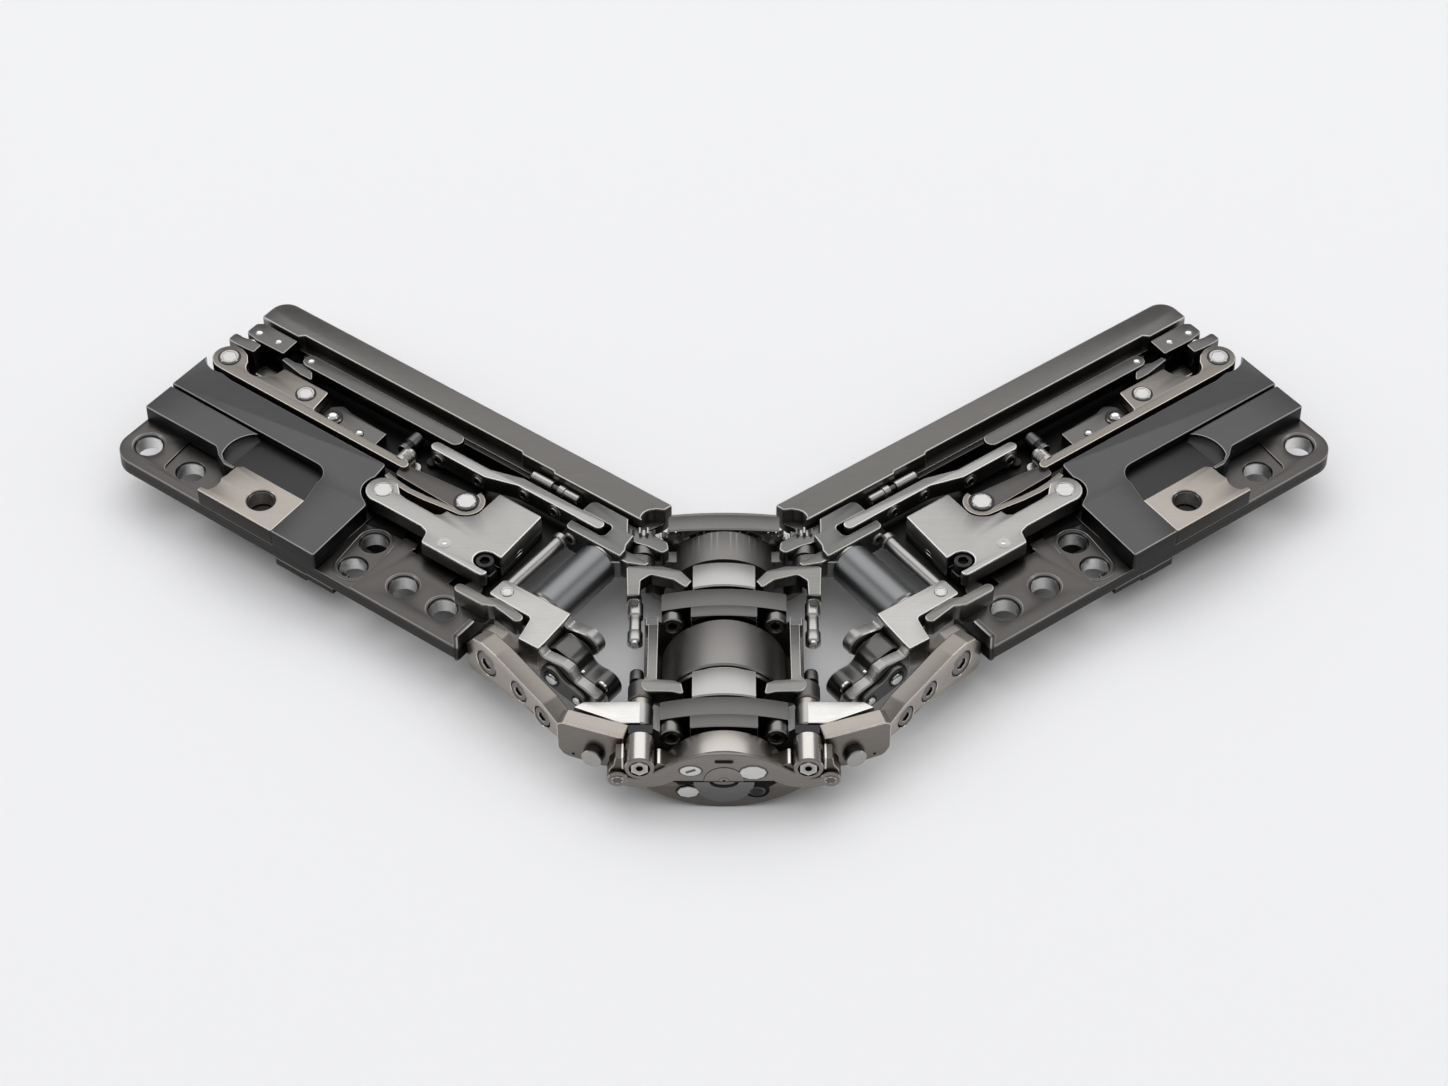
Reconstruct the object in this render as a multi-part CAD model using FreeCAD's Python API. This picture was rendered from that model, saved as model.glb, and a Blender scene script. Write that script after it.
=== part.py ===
import FreeCAD, Part
import math
import os

os.makedirs("parts", exist_ok=True)
V = FreeCAD.Vector

# Folding phone hinge, open flat: a central spine with two wings that meet it in a V.
# X runs across the spine, Y along it from the front cap to the back, Z up from the floor.
# A wing's own frame has p outward along the wing, q across it towards the back, z up.

# Overall sizes
WING_ANGLE = 37.0
WING_END = 45.0
WING_NEAR = -1.8
WING_HOLD = (4.5396, 17.8203)
FOLD_X = 4.7
FOLD_Z = 3.28
SPINE_TOP = 4.5
RUN_GAP = 0.05
SEAT_GAP = 0.12

# Heights in the wing
PLATE_LOW = 2.2
FLOOR_TOP = 2.9
PLATE_TOP = 3.3
COVER_TOP = 4.5
STRIP_STEP = 0.1
POCKET_FLOOR = 3.95
LIP_TOP = 4.24
RAIL_TOP = 4.6
LEVER_TOP = 4.5
LEVER_THICK = 0.8
LINK_DROP = 0.15
HEAD_RISE = 0.07

# Base plate
CORNER_R = 1.6
TONGUE_P = 17.75
TONGUE_Q = 1.5
INNER_P = 19.1
PLATE_FAR = 5.6
SHELF_P = 21.5
SHELF_Q = 2.6
HOLE_R = 0.8
SINK_R = 1.1
SINK_DEPTH = 0.3
PLATE_HOLES = [(43.4, 0.08), (39.9, -0.08), (27.2, 1.96), (26.9, -0.3), (23.5, 0.2), (20.5, 0.2)]
RECESS = (26.0, 28.9)
RECESS_DEPTH = 0.14
LIP_WIDTH = 0.35
LIP_Q = 0.8
LIP_SLOPE = 1.0
SKIRT = (1.5, 0.6)
LEDGE = (0.35, 0.45)
STEP_LINE = (41.35, 41.5, 0.1)
HOUSING = (23.5, 39.5, 3.4, 11.2)

# Cover, pad and rail
COVER_NEAR = 1.72
COVER_STEP_P = 39.5
BLOCK_P = (28.5, 31.7)
COVER_FAR = 6.3
COVER_FAR_IN = 30.3
GROOVE_Q = 3.99
PAD_FAR = 1.22
PAD_TOP = 4.45
PAD_OUT_P = 37.5
PAD_HOLE = (33.95, -0.3)
RAIL_NEAR = 11.75
RAIL_FAR = 13.87
RAIL_IN = 15.0
RAIL_OUT = 44.6
RAIL_STEP = 0.3
RAIL_CORNER = 1.1
RAIL_STEPS = [(24.0, 41.5, RAIL_STEP), (21.6, 24.0, RAIL_STEP * 0.5)]
SCOOP_R = 0.75

# Links on the wing
LEVER_A = (43.78, 7.88)
LEVER_S = (37.88, 8.2)
LEVER_END = (29.28, 7.35)
LEVER_NEAR = 6.8
RING_R = 1.06
RIVET_R = 0.62
PIN_B = (28.69, 4.62)
PIN_C = (24.28, 6.97)
BAR_PIN = (39.57, 10.62)
BAR_END = (28.1, 10.62)
BAR_HALF = 0.5
TOGGLE_PINS = [(43.83, 10.66), (42.32, 10.7)]
TOGGLE = [
    (41.38, 10.1, 0.1),
    (44.5, 10.06, 0.3),
    (44.5, 11.2, 0.3),
    (44.1, 11.5, 0.3),
    (41.43, 11.48, 0.1),
]
HOOK = [
    (42.93, 9.13, 0.1),
    (43.7, 9.05),
    (44.95, 9.05, 0.2),
    (44.95, 9.76, 0.2),
    (42.98, 9.84, 0.1),
]
SMALL_LINK = [(40.95, 9.75), (39.55, 9.68), 0.28]
LINK_EYE_R = 0.28
FAR_BOSS_R = 0.85
NEAR_BOSS_R = 0.8
TOGGLE_BOSS_R = 0.5
BAR_BOSS_R = 0.45
LINK_BOSS = (40.0, 9.65)
HOOK_BOSS = (43.9, 9.35)
HOOK_BOSS_R = 0.35
SMALL_PIN_R = 0.24
TAIL_POST_R = 0.5
BUSH_POST_R = 0.3
CHANNEL_POSTS = [(35.82, 8.21, 0.42, 0.4), (33.56, 8.06, 0.3, 0.6), (31.0, 9.3, 0.42, 0.7)]
HEX_SCREW = (20.25, 3.75, 0.6)
HEX_SINK = 0.12
HEX_HEAD = 0.18
BALL_PIN = (22.92, 3.32, 0.3)
SHANK_SHARE = 0.6
ARM_HALF = 0.36
UPPER_ARM = [(28.55, 9.36), (24.66, 9.36), (22.6, 9.92), (16.75, 9.92)]
UPPER_ARM_Z = (3.45, 4.6)
LOWER_ARM = [(20.3, 1.2), (18.0, 1.36), (15.9, 1.36)]
LOWER_ARM_Z = (3.3, 4.45)
LOWER_BUSH = (19.87, 2.21)
BRACKET_TOP = 4.6
BRACKET_THICK = 0.95
BRACKET_P = (19.4, 22.95)
BRACKET_Q = (4.2, 8.5)
BOX_LOW = 3.0

# Slide blocks of the carriage
REAR_BLOCK_Q = (8.72, 11.5)
REAR_BLOCK_P = (14.35, 18.3)
REAR_SLOT_Q = (9.42, 10.42)
REAR_SLOT_P = 15.95
FRONT_BLOCK_Q = (0.36, 3.3)
FRONT_BLOCK_P = (14.8, 18.36)
FRONT_SLOT_Q = (0.9, 1.82)
FRONT_SLOT_P = 15.35
FAR_EYE = (12.6, 3.4)
NEAR_EYE = (9.5, 2.95)
DARK_LINK_Q = (1.12, 2.5)
BLOCK_Z = (2.7, 4.5)
BLOCK_BEVEL = 0.65
PRONG_WIDTH = 0.62
FAR_PRONG_WIDTH = 0.65
SLIM_LINK = [(9.7, 1.75, 0.5), (12.6, 2.35, 0.5), (12.6, 3.4, 0.5), (9.7, 2.8, 0.5)]
SLIM_WIDTH = 0.5
SLIM_SCREWS = [(12.1, 2.87), (10.2, 2.28)]
SLIM_SCREW_R = 0.36
EYE_PIN_R = 0.3
WASHER_R = 0.4
PIN_END = (0.32, 0.15)
BARREL_CHAMFER = 0.12
BARREL_R = 1.2
ROD_R = 0.42
ROD_P = 17.95
BARREL_P = 15.75
SHAFT_Z = 3.25

# Spine
DRUM_R = 3.6
DRUM_Z = 0.9
COVER_HALF = 4.6
COVER_RISE = 1.8
SHELL = 0.35
CAP_DEPTH = 1.35
ARCH_DEPTH = 1.88
SEAM_Z = 2.31
FRONT_COLLAR_Y = (2.15, 4.4)
FRONT_SADDLE_Y = (4.58, 6.61)
BARREL_Y = (6.89, 10.39)
REAR_COLLAR_Y = (10.76, 12.87)
REAR_SADDLE_Y = (13.15, 15.02)
REAR_DRUM_Y = (15.26, 17.48)
BRIDGE_Y = (18.2, 19.1)
BRIDGE_HALF = 3.1
COLLAR_HALF = 3.85
COLLAR_SHOULDER = 3.95
NOTCH_X = 1.9
EAR_DEPTH = 1.3
SADDLE_HALF = 1.8
SHAFT_R = 0.55
ROLLER_X = 3.08
ROLLER_Z = 3.2
ROLLER_R = 0.68
BUSH_R = 0.85
BUSH_BACK = 2.1
BUSH_HOLLOW = (0.45, 0.2)
FRICTION_X = 4.0
FRICTION_SIZE = (1.35, 0.63, 1.25)
FRICTION_AT = (2.15, 2.65)
CAP_FRONT = 0.1
EAR_FRONT = 0.15
CAP_BOSS = (1.0, 0.2)
EAR = [
    (2.6, SEAM_Z),
    (3.35, SEAM_Z, 0.5),
    (4.1, 1.86, 0.6),
    (5.2, 1.92, 0.4),
    (6.45, 2.1, 0.5),
    (6.45, 3.0, 0.4),
    (6.0, 3.45, 0.2),
    (5.55, 3.45),
    (5.55, 2.75, 0.3),
    (3.75, 2.75, 0.3),
    (3.75, 3.5, 0.15),
    (3.35, 3.5, 0.15),
    (2.9, 3.0),
]
WALL_Y = (0.2, 0.6)
WALL_HALF = 3.3
WALL_BOSS_R = 1.66
SHELL_SLOT_X = 2.8
COLLAR_LOW = 2.45
WAIST_STEP = 0.6
SADDLE_LOW = 1.2
SADDLE_DROP = 0.27
BRIDGE_LOW = 2.9
BRIDGE_DROP = 0.2
BRIDGE_LEG = [(-2.2, 1.4), (-2.2, 0.3), (2.2, 0.3), (2.2, 1.4)]
LUG_ROOT = [(2.4, 1.5), (2.6, 3.18)]
ROLLER_IN = 0.05
REACH = 30
PIN_R = 0.36
PIN_FIT = 0.05
KNUCKLE_R = 0.72
LUG_Y = (16.3, 17.15)
NEAR_PRONG_Y = (15.5, 16.18)
FAR_PRONG_Y = (17.27, 17.57)
KNUCKLE_Y = (2.85, 4.5)
BOSS_Y = (4.95, 6.45)

# Arm and brackets of the carriage
ARM_FOOT = (8.95, 3.05)
ARM_AIM = (15.757, -1.634)
ARM_SIDE = [
    (-0.25, 1.95, 0.3),
    (0.9, 1.95),
    (5.9, 2.0, 0.8),
    (8.4, 1.65, 0.5),
    (8.6, 3.95, 0.7),
    (7.1, 4.5, 0.9),
    (3.4, 3.95, 1.5),
    (0.6, 3.3, 0.5),
    (-0.25, 3.2),
]
SPACER = [(14.7, 2.9, 0.3), (17.2, 2.7, 0.4), (17.3, 4.15, 0.6), (15.7, 4.15, 0.5), (14.5, 3.5, 0.3)]
SPACER_SINK = 0.1
SCREW_DEPTH = 0.3
SCREW_FIT = 0.04
TOE_PIN = (7.25, 2.2, 0.52)
TOE_PIN_Y = (1.9, 2.9)
GUSSET_THICK = 0.75
BAR_LOW = 0.45
TAIL_Y = (10.5, 11.15)
TAIL_HIGH = 0.42
BENT_TOP = [
    (5.0, 13.0, 0.1),
    (5.66, 13.0, 0.1),
    (5.72, 15.1, 0.3),
    (5.3, 15.42, 0.2),
    (4.7, 15.42, 0.3),
    (2.7, 14.9, 0.3),
    (2.15, 14.45, 0.2),
    (2.15, 13.95, 0.2),
    (4.7, 14.3, 0.3),
    (5.0, 14.0, 0.3),
]
DROP_HALF = 0.32
DROP_Y = (10.35, 13.0)
DOME = (0.25, 0.1, 0.42, 0.9)
RING_WIDTH = 0.62
PRONG_REACH = 1.9
ARM_THICK = 1.1
TOE = [(8.95, 3.02), (5.78, 1.58), (5.78, 2.62), (8.44, 3.95)]
TOE_Z = (1.35, 4.0)
ARM_SCREWS = [(6.9, 3.15), (4.05, 3.1), (2.0, 2.65)]
SCREW_HEAD_R = 0.62
BAR_X = (3.8, 4.4)
HOOK_REACH = 2.15
DROP_X = 5.25

# Timing gears behind the rear drum
GEAR_TEETH = 14
GEAR_Y = (17.62, 18.08)
GEAR_AXLE = 0.3
GEAR_ROOM = 1.65
GEAR_COUNT = 6
GEAR_PITCH_R = FOLD_X / (GEAR_COUNT - 1)
GEAR_ADDENDUM = 0.1
GEAR_ROOT = 1.4
TOOTH_ROOT_SHARE = 0.31
TOOTH_TIP_SHARE = 0.1
REAR_PIN_Y = (15.5, 17.62)


def rounded(points):
    """Closed face in XY through corners (x, y) or (x, y, radius), with an arc at each radius."""
    count = len(points)
    spans = []
    for i in range(count):
        before = V(points[i - 1][0], points[i - 1][1], 0)
        here = V(points[i][0], points[i][1], 0)
        after = V(points[(i + 1) % count][0], points[(i + 1) % count][1], 0)
        radius = points[i][2] if len(points[i]) > 2 else 0
        if radius == 0:
            spans.append((here, None, here))
            continue
        back = (before - here).normalize()
        ahead = (after - here).normalize()
        half = back.getAngle(ahead) / 2
        reach = radius / math.tan(half)
        middle = (back + ahead).normalize() * (radius / math.sin(half) - radius)
        spans.append((here + back * reach, here + middle, here + ahead * reach))
    edges = []
    for i in range(count):
        start, mid, end = spans[i]
        if mid is not None:
            edges.append(Part.Arc(start, mid, end).toShape())
        following = spans[(i + 1) % count][0]
        if (following - end).Length > 1e-5:
            edges.append(Part.LineSegment(end, following).toShape())
    return Part.Face(Part.Wire(edges))


def slab(points, low, high):
    """Rounded outline in XY, from height low to height high."""
    face = rounded(points)
    face.translate(V(0, 0, low))
    return face.extrude(V(0, 0, high - low))


def wall(points, front, back):
    """Rounded outline in XZ, carried along Y from front to back."""
    face = rounded(points)
    face.rotate(V(0, 0, 0), V(1, 0, 0), 90)
    face.translate(V(0, front, 0))
    return face.extrude(V(0, back - front, 0))


def box(x0, x1, y0, y1, z0, z1):
    """Box between two corners."""
    return Part.makeBox(x1 - x0, y1 - y0, z1 - z0, V(x0, y0, z0))


def post(x, y, radius, low, high):
    """Upright cylinder."""
    return Part.makeCylinder(radius, high - low, V(x, y, low))


def along_y(x, z, radius, front, back):
    """Cylinder along Y."""
    return Part.makeCylinder(radius, back - front, V(x, front, z), V(0, 1, 0))


def link(a, b, half, low, high):
    """Flat link with a round end of radius half at each of two centres."""
    run = V(b[0] - a[0], b[1] - a[1], 0)
    side = V(-run.y, run.x, 0).normalize() * half
    start = V(a[0], a[1], low)
    end = V(b[0], b[1], low)
    tip = V(run).normalize() * half
    edges = [
        Part.LineSegment(start + side, end + side).toShape(),
        Part.Arc(end + side, end + tip, end - side).toShape(),
        Part.LineSegment(end - side, start - side).toShape(),
        Part.Arc(start - side, start - tip, start + side).toShape(),
    ]
    return Part.Face(Part.Wire(edges)).extrude(V(0, 0, high - low))


def strip(route, half, low, high):
    """Bent bar of width two halves along a route in XY, with a round far end."""
    shape = None
    for a, b in zip(route, route[1:]):
        piece = link(a, b, half, low, high)
        shape = piece if shape is None else shape.fuse(piece)
    return shape.removeSplitter()


def countersunk(x, y, low, high):
    """Screw hole with a countersink at its top, as a cutter."""
    cone = Part.makeCone(HOLE_R, SINK_R, SINK_DEPTH, V(x, y, high - SINK_DEPTH))
    return post(x, y, HOLE_R, low - 1, high + 1).fuse(cone)


def screw(x, y, radius, low, high, head):
    """Rivet or screw: a shank and a wider low head."""
    return post(x, y, radius * SHANK_SHARE, low, high).fuse(post(x, y, radius, high - head, high))


def tidy(shape):
    """Merged faces of a fused or cut shape."""
    return shape.removeSplitter()


def base_plate():
    """Machined wing plate: floor, screw shelf, upturned lip, bosses and the housing below."""
    outline = [
        (TONGUE_P, WING_NEAR),
        (WING_END, WING_NEAR, CORNER_R),
        (WING_END, LEVER_A[1] + 1.6, 0.5),
        (RAIL_OUT, LEVER_A[1] + 2.4, 0.3),
        (RAIL_OUT, RAIL_FAR, RAIL_CORNER),
        (RAIL_IN + 0.4, RAIL_FAR, 0.3),
        (RAIL_IN + 0.4, RAIL_NEAR + 0.15),
        (INNER_P, RAIL_NEAR + 0.15),
        (INNER_P, TONGUE_Q),
        (TONGUE_P, TONGUE_Q),
    ]
    body = slab(outline, PLATE_LOW, FLOOR_TOP)
    shelf = [
        (TONGUE_P, WING_NEAR),
        (WING_END, WING_NEAR, CORNER_R),
        (WING_END, PLATE_FAR),
        (PIN_B[0] - 1.5, PLATE_FAR),
        (PIN_B[0] - 2.6, SHELF_Q + 0.7),
        (SHELF_P, SHELF_Q),
        (SHELF_P, TONGUE_Q + 0.4),
        (INNER_P, TONGUE_Q + 0.4),
        (INNER_P, TONGUE_Q),
        (TONGUE_P, TONGUE_Q),
    ]
    body = body.fuse(slab(shelf, FLOOR_TOP, PLATE_TOP))
    lip = Part.Face(Part.makePolygon([
        V(TONGUE_P, WING_NEAR, PLATE_LOW),
        V(TONGUE_P, LIP_Q, PLATE_LOW),
        V(TONGUE_P, LIP_Q, PLATE_TOP),
        V(TONGUE_P, LIP_Q - LIP_SLOPE, LIP_TOP),
        V(TONGUE_P, WING_NEAR, LIP_TOP),
        V(TONGUE_P, WING_NEAR, PLATE_LOW),
    ])).extrude(V(LIP_WIDTH, 0, 0))
    body = body.fuse(lip)
    back = WING_NEAR + SKIRT[0]
    middle = BLOCK_P[1] + RUN_GAP
    skirt = box(middle, PAD_OUT_P, WING_NEAR, back, PLATE_LOW - SKIRT[1], PLATE_LOW)
    ledge = box(BLOCK_P[0] - 0.3, middle, WING_NEAR + LEDGE[0], back, PLATE_LOW - LEDGE[1], PLATE_LOW)
    body = body.fuse(skirt).fuse(ledge)
    housing = slab([
        (HOUSING[0], HOUSING[2], 1.0),
        (HOUSING[1], HOUSING[2], 1.0),
        (HOUSING[1], HOUSING[3], 1.0),
        (HOUSING[0], HOUSING[3], 1.0),
    ], 0, PLATE_LOW)
    body = body.fuse(housing)
    for x, y, radius, top in wing_bosses():
        body = body.fuse(post(x, y, radius, PLATE_LOW, top))
    floor = PLATE_TOP - RECESS_DEPTH
    body = body.cut(box(RECESS[0], RECESS[1], WING_NEAR + 0.55, SHELF_Q + 0.9, floor, PLATE_TOP + 1))
    line = PLATE_TOP - STEP_LINE[2]
    body = body.cut(box(STEP_LINE[0], STEP_LINE[1], WING_NEAR + 0.7, COVER_NEAR, line, PLATE_TOP + 1))
    relief = box(PAD_OUT_P, WING_END + 1, WING_NEAR - 1, WING_NEAR + 3, PLATE_LOW - 1, PLATE_LOW + 0.3)
    body = body.cut(relief)
    for x, y in PLATE_HOLES:
        top = floor if RECESS[0] < x < RECESS[1] else PLATE_TOP
        body = body.cut(countersunk(x, y, PLATE_LOW, top))
    body = body.cut(post(PAD_HOLE[0], PAD_HOLE[1], HOLE_R, PLATE_LOW - 2, PLATE_TOP + 1))
    return tidy(body)


def wing_bosses():
    """Bosses that carry the links: place, radius and height."""
    under_lever = LEVER_TOP - LEVER_THICK
    under_link = LEVER_TOP - LINK_DROP - LEVER_THICK
    return [
        (LEVER_A[0], LEVER_A[1], FAR_BOSS_R, under_lever),
        (LEVER_S[0], LEVER_S[1], NEAR_BOSS_R, under_lever),
        (PIN_B[0], PIN_B[1], FAR_BOSS_R, BRACKET_TOP - BRACKET_THICK),
        (PIN_C[0], PIN_C[1], NEAR_BOSS_R, under_link),
        (TOGGLE_PINS[0][0], TOGGLE_PINS[0][1], TOGGLE_BOSS_R, under_lever),
        (TOGGLE_PINS[1][0], TOGGLE_PINS[1][1], TOGGLE_BOSS_R, under_lever),
        (BAR_PIN[0], BAR_PIN[1], BAR_BOSS_R, under_lever),
        (BAR_END[0] + 0.3, BAR_END[1], BAR_BOSS_R, under_lever),
        (UPPER_ARM[0][0], UPPER_ARM[0][1], ARM_HALF, UPPER_ARM_Z[0]),
        (LINK_BOSS[0], LINK_BOSS[1], LINK_EYE_R, under_lever),
        (HOOK_BOSS[0], HOOK_BOSS[1], HOOK_BOSS_R, under_lever - 0.2),
    ]


def cover_plate():
    """Cover with two long strips, a pocket behind the pad and a foot beside it."""
    lower = slab([
        (WING_END, COVER_NEAR, 0.15),
        (WING_END, GROOVE_Q),
        (BLOCK_P[0] + 0.25, GROOVE_Q),
        (BLOCK_P[0] + 0.25, WING_NEAR - 0.1, 0.2),
        (BLOCK_P[1], WING_NEAR - 0.1, 0.1),
        (BLOCK_P[1], PAD_FAR + SEAT_GAP),
        (PAD_OUT_P - 0.1, PAD_FAR + SEAT_GAP, 0.45),
        (PAD_OUT_P + 0.15, 0.55, 0.2),
        (COVER_STEP_P - 0.9, 0.75, 0.3),
        (COVER_STEP_P, COVER_NEAR, 0.5),
    ], PLATE_TOP, COVER_TOP - STRIP_STEP)
    upper = slab([
        (WING_END, GROOVE_Q, 0.1),
        (WING_END, LEVER_A[1] - 0.8, 0.2),
        (LEVER_A[0] + 0.2, COVER_FAR, 0.9),
        (COVER_FAR_IN, COVER_FAR, 0.3),
        (COVER_FAR_IN - 0.5, GROOVE_Q - 0.1, 1.0),
        (BLOCK_P[0], 3.0, 0.5),
        (BLOCK_P[0] + 0.25, WING_NEAR - 0.1, 0.2),
        (BLOCK_P[1], WING_NEAR - 0.1, 0.1),
        (BLOCK_P[1], 2.9, 0.9),
        (BLOCK_P[1] + 1.2, GROOVE_Q, 0.9),
    ], PLATE_TOP, COVER_TOP)
    body = lower.fuse(upper)
    body = body.cut(post(PIN_B[0], PIN_B[1], RING_R + 0.3, PLATE_TOP - 1, COVER_TOP + 1))
    body = body.cut(post(LEVER_A[0], LEVER_A[1], RING_R + 0.35, PLATE_TOP - 1, COVER_TOP + 1))
    pocket = slab([
        (COVER_STEP_P - 0.75, PAD_FAR - 0.2, 0.1),
        (COVER_STEP_P - 1.6, GROOVE_Q - 0.25, 1.2),
        (BLOCK_P[1] + 0.75, GROOVE_Q - 0.25, 1.1),
        (BLOCK_P[1] + 0.35, PAD_FAR - 0.2, 0.1),
    ], POCKET_FLOOR, COVER_TOP + 1)
    body = body.cut(pocket)
    return tidy(body)


def mounting_pad():
    """Screw pad let into the cover, with a hollow at its outer end."""
    body = slab([
        (BLOCK_P[1] + RUN_GAP, WING_NEAR - 0.1, 0.15),
        (PAD_OUT_P, WING_NEAR - 0.1, 0.15),
        (PAD_OUT_P - 0.05, 0.5, 0.2),
        (PAD_OUT_P - 0.8, PAD_FAR, 0.4),
        (BLOCK_P[1] + RUN_GAP, PAD_FAR, 0.15),
    ], PLATE_TOP, PAD_TOP)
    body = body.cut(post(PAD_OUT_P + 0.55, -0.45, 1.0, PLATE_TOP - 1, PAD_TOP + 1))
    return tidy(body.cut(countersunk(PAD_HOLE[0], PAD_HOLE[1], PLATE_TOP, PAD_TOP)))


def rail():
    """Long edge rail with shallow steps in its near side and a scooped inner end."""
    body = slab([
        (RAIL_IN + 0.1, RAIL_NEAR, 0.2),
        (RAIL_OUT, RAIL_NEAR, 0.25),
        (RAIL_OUT, RAIL_FAR, RAIL_CORNER),
        (RAIL_IN - 0.45, RAIL_FAR, 0.25),
        (RAIL_IN - 0.1, RAIL_FAR - 0.65, 0.25),
        (RAIL_IN, RAIL_FAR - 1.0),
    ], FLOOR_TOP, RAIL_TOP)
    for start, end, depth in RAIL_STEPS:
        body = body.cut(box(start, end, RAIL_NEAR - 1, RAIL_NEAR + depth, FLOOR_TOP + 0.6, RAIL_TOP + 1))
    scoop = post(RAIL_IN - 0.35, RAIL_NEAR + 0.55, SCOOP_R, RAIL_TOP - SCOOP_R, RAIL_TOP + 1)
    return tidy(body.cut(scoop))


def long_lever():
    """Lever with a ring at its outer screw, a tab for the second and a slim tail."""
    low = LEVER_TOP - LEVER_THICK
    tail = LEVER_NEAR + 0.62
    body = slab([
        (LEVER_END[0] - 0.35, LEVER_NEAR, 0.3),
        (LEVER_A[0], LEVER_NEAR),
        (LEVER_A[0], LEVER_A[1] + 0.3),
        (LEVER_A[0] - 0.95, LEVER_A[1] + 0.2, 0.3),
        (LEVER_A[0] - 1.35, LEVER_NEAR + 0.9, 0.5),
        (LEVER_S[0] + 3.05, LEVER_NEAR + 0.9, 0.6),
        (LEVER_S[0] + 2.45, 9.07, 0.15),
        (LEVER_S[0] - 1.05, 9.07, 0.2),
        (LEVER_S[0] - 1.25, tail, 0.2),
        (LEVER_END[0] - 0.35, tail, 0.3),
    ], low, LEVER_TOP)
    ring = post(LEVER_A[0], LEVER_A[1], RING_R, low, LEVER_TOP)
    return bored(body.fuse(ring))


def slide_links():
    """Dark links between lever and rail: toggle block, hook, small link and long bar."""
    low = LEVER_TOP - LEVER_THICK
    toggle = slab(TOGGLE, low, LEVER_TOP)
    hook = slab(HOOK, low - 0.2, LEVER_TOP - RUN_GAP)
    small = link(SMALL_LINK[0], SMALL_LINK[1], SMALL_LINK[2], low, LEVER_TOP - RUN_GAP)
    bar = link(BAR_PIN, BAR_END, BAR_HALF, low, LEVER_TOP)
    return [toggle, hook, small, bar]


def latch_bracket():
    """Bracket with a ring, a flat arm and a deep box at its inner end."""
    low = BRACKET_TOP - BRACKET_THICK
    arm = slab([
        (BRACKET_P[0], 2.5, 0.4),
        (24.3, 2.5, 0.25),
        (24.75, 3.52, 0.35),
        (PIN_B[0], 3.56),
        (PIN_B[0], 4.95),
        (24.8, 4.95, 0.3),
        (24.4, 5.4, 0.2),
        (BRACKET_P[1], 5.4),
        (BRACKET_P[1], BRACKET_Q[1], 0.2),
        (BRACKET_P[0], BRACKET_Q[1], 0.2),
    ], low, BRACKET_TOP)
    body = arm.fuse(post(PIN_B[0], PIN_B[1], RING_R, low, BRACKET_TOP))
    body = body.fuse(box(BRACKET_P[0], BRACKET_P[1], BRACKET_Q[0], BRACKET_Q[1], BOX_LOW, low))
    body = body.cut(post(PIN_C[0], PIN_C[1], RING_R + 0.4, BOX_LOW - 1, BRACKET_TOP + 1))
    seat = BRACKET_TOP - HEX_SINK - HEX_HEAD
    body = body.cut(post(HEX_SCREW[0], HEX_SCREW[1], HEX_SCREW[2] + RUN_GAP, seat, BRACKET_TOP + 1))
    return bored(body)


def short_link():
    """Link beside the box, with a thinner tongue under the lever's tail."""
    top = LEVER_TOP - LINK_DROP
    half = RING_R - 0.12
    under = LEVER_TOP - LEVER_THICK
    outer = (LEVER_END[0] - 0.4 - half, LEVER_NEAR + 0.1)
    body = link(PIN_C, outer, half, under - 0.1, top)
    tongue = link(outer, (LEVER_END[0] + 0.2, LEVER_NEAR + 0.3), half - 0.3, under - 0.35, under)
    return bored(body.fuse(tongue))


def bored(shape):
    """A link with the holes that the wing's pins stand in."""
    for pin in wing_pins():
        shape = shape.cut(pin)
    return tidy(shape)


def wing_pins():
    """Rivets, screws, rollers and bushes of a wing."""
    low = LEVER_TOP - LEVER_THICK
    bracket_low = BRACKET_TOP - BRACKET_THICK
    solids = [
        screw(LEVER_A[0], LEVER_A[1], RIVET_R, low, LEVER_TOP + HEAD_RISE, HEAD_RISE),
        screw(LEVER_S[0], LEVER_S[1], RIVET_R * 0.92, low, LEVER_TOP + HEAD_RISE, HEAD_RISE),
        screw(PIN_B[0], PIN_B[1], RIVET_R, bracket_low, BRACKET_TOP + HEAD_RISE * 0.5, 0.05),
        screw(PIN_C[0], PIN_C[1], RIVET_R, low, LEVER_TOP - LINK_DROP + HEAD_RISE, HEAD_RISE),
        post(LEVER_END[0] - 0.1, LEVER_END[1] + 0.62, TAIL_POST_R, FLOOR_TOP, LEVER_TOP - RUN_GAP),
        post(LOWER_BUSH[0], LOWER_BUSH[1], BUSH_POST_R, FLOOR_TOP, bracket_low),
        screw(HEX_SCREW[0], HEX_SCREW[1], HEX_SCREW[2], bracket_low, BRACKET_TOP - HEX_SINK, HEX_HEAD),
        screw(BALL_PIN[0], BALL_PIN[1], BALL_PIN[2], bracket_low, BRACKET_TOP + 0.03, 0.05),
    ]
    for x, y, radius, below in CHANNEL_POSTS:
        solids.append(post(x, y, radius, FLOOR_TOP, LEVER_TOP - below))
    for x, y in TOGGLE_PINS + [BAR_PIN]:
        solids.append(post(x, y, SMALL_PIN_R, LEVER_TOP, LEVER_TOP + HEAD_RISE * 0.5))
    return solids


def upper_arm():
    """Bent slide arm that runs into the rear block's slot."""
    return strip(UPPER_ARM, ARM_HALF, UPPER_ARM_Z[0], UPPER_ARM_Z[1])


def lower_arm():
    """Bent slide arm that runs into the front block's slot."""
    return strip(LOWER_ARM, ARM_HALF, LOWER_ARM_Z[0], LOWER_ARM_Z[1])


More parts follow.
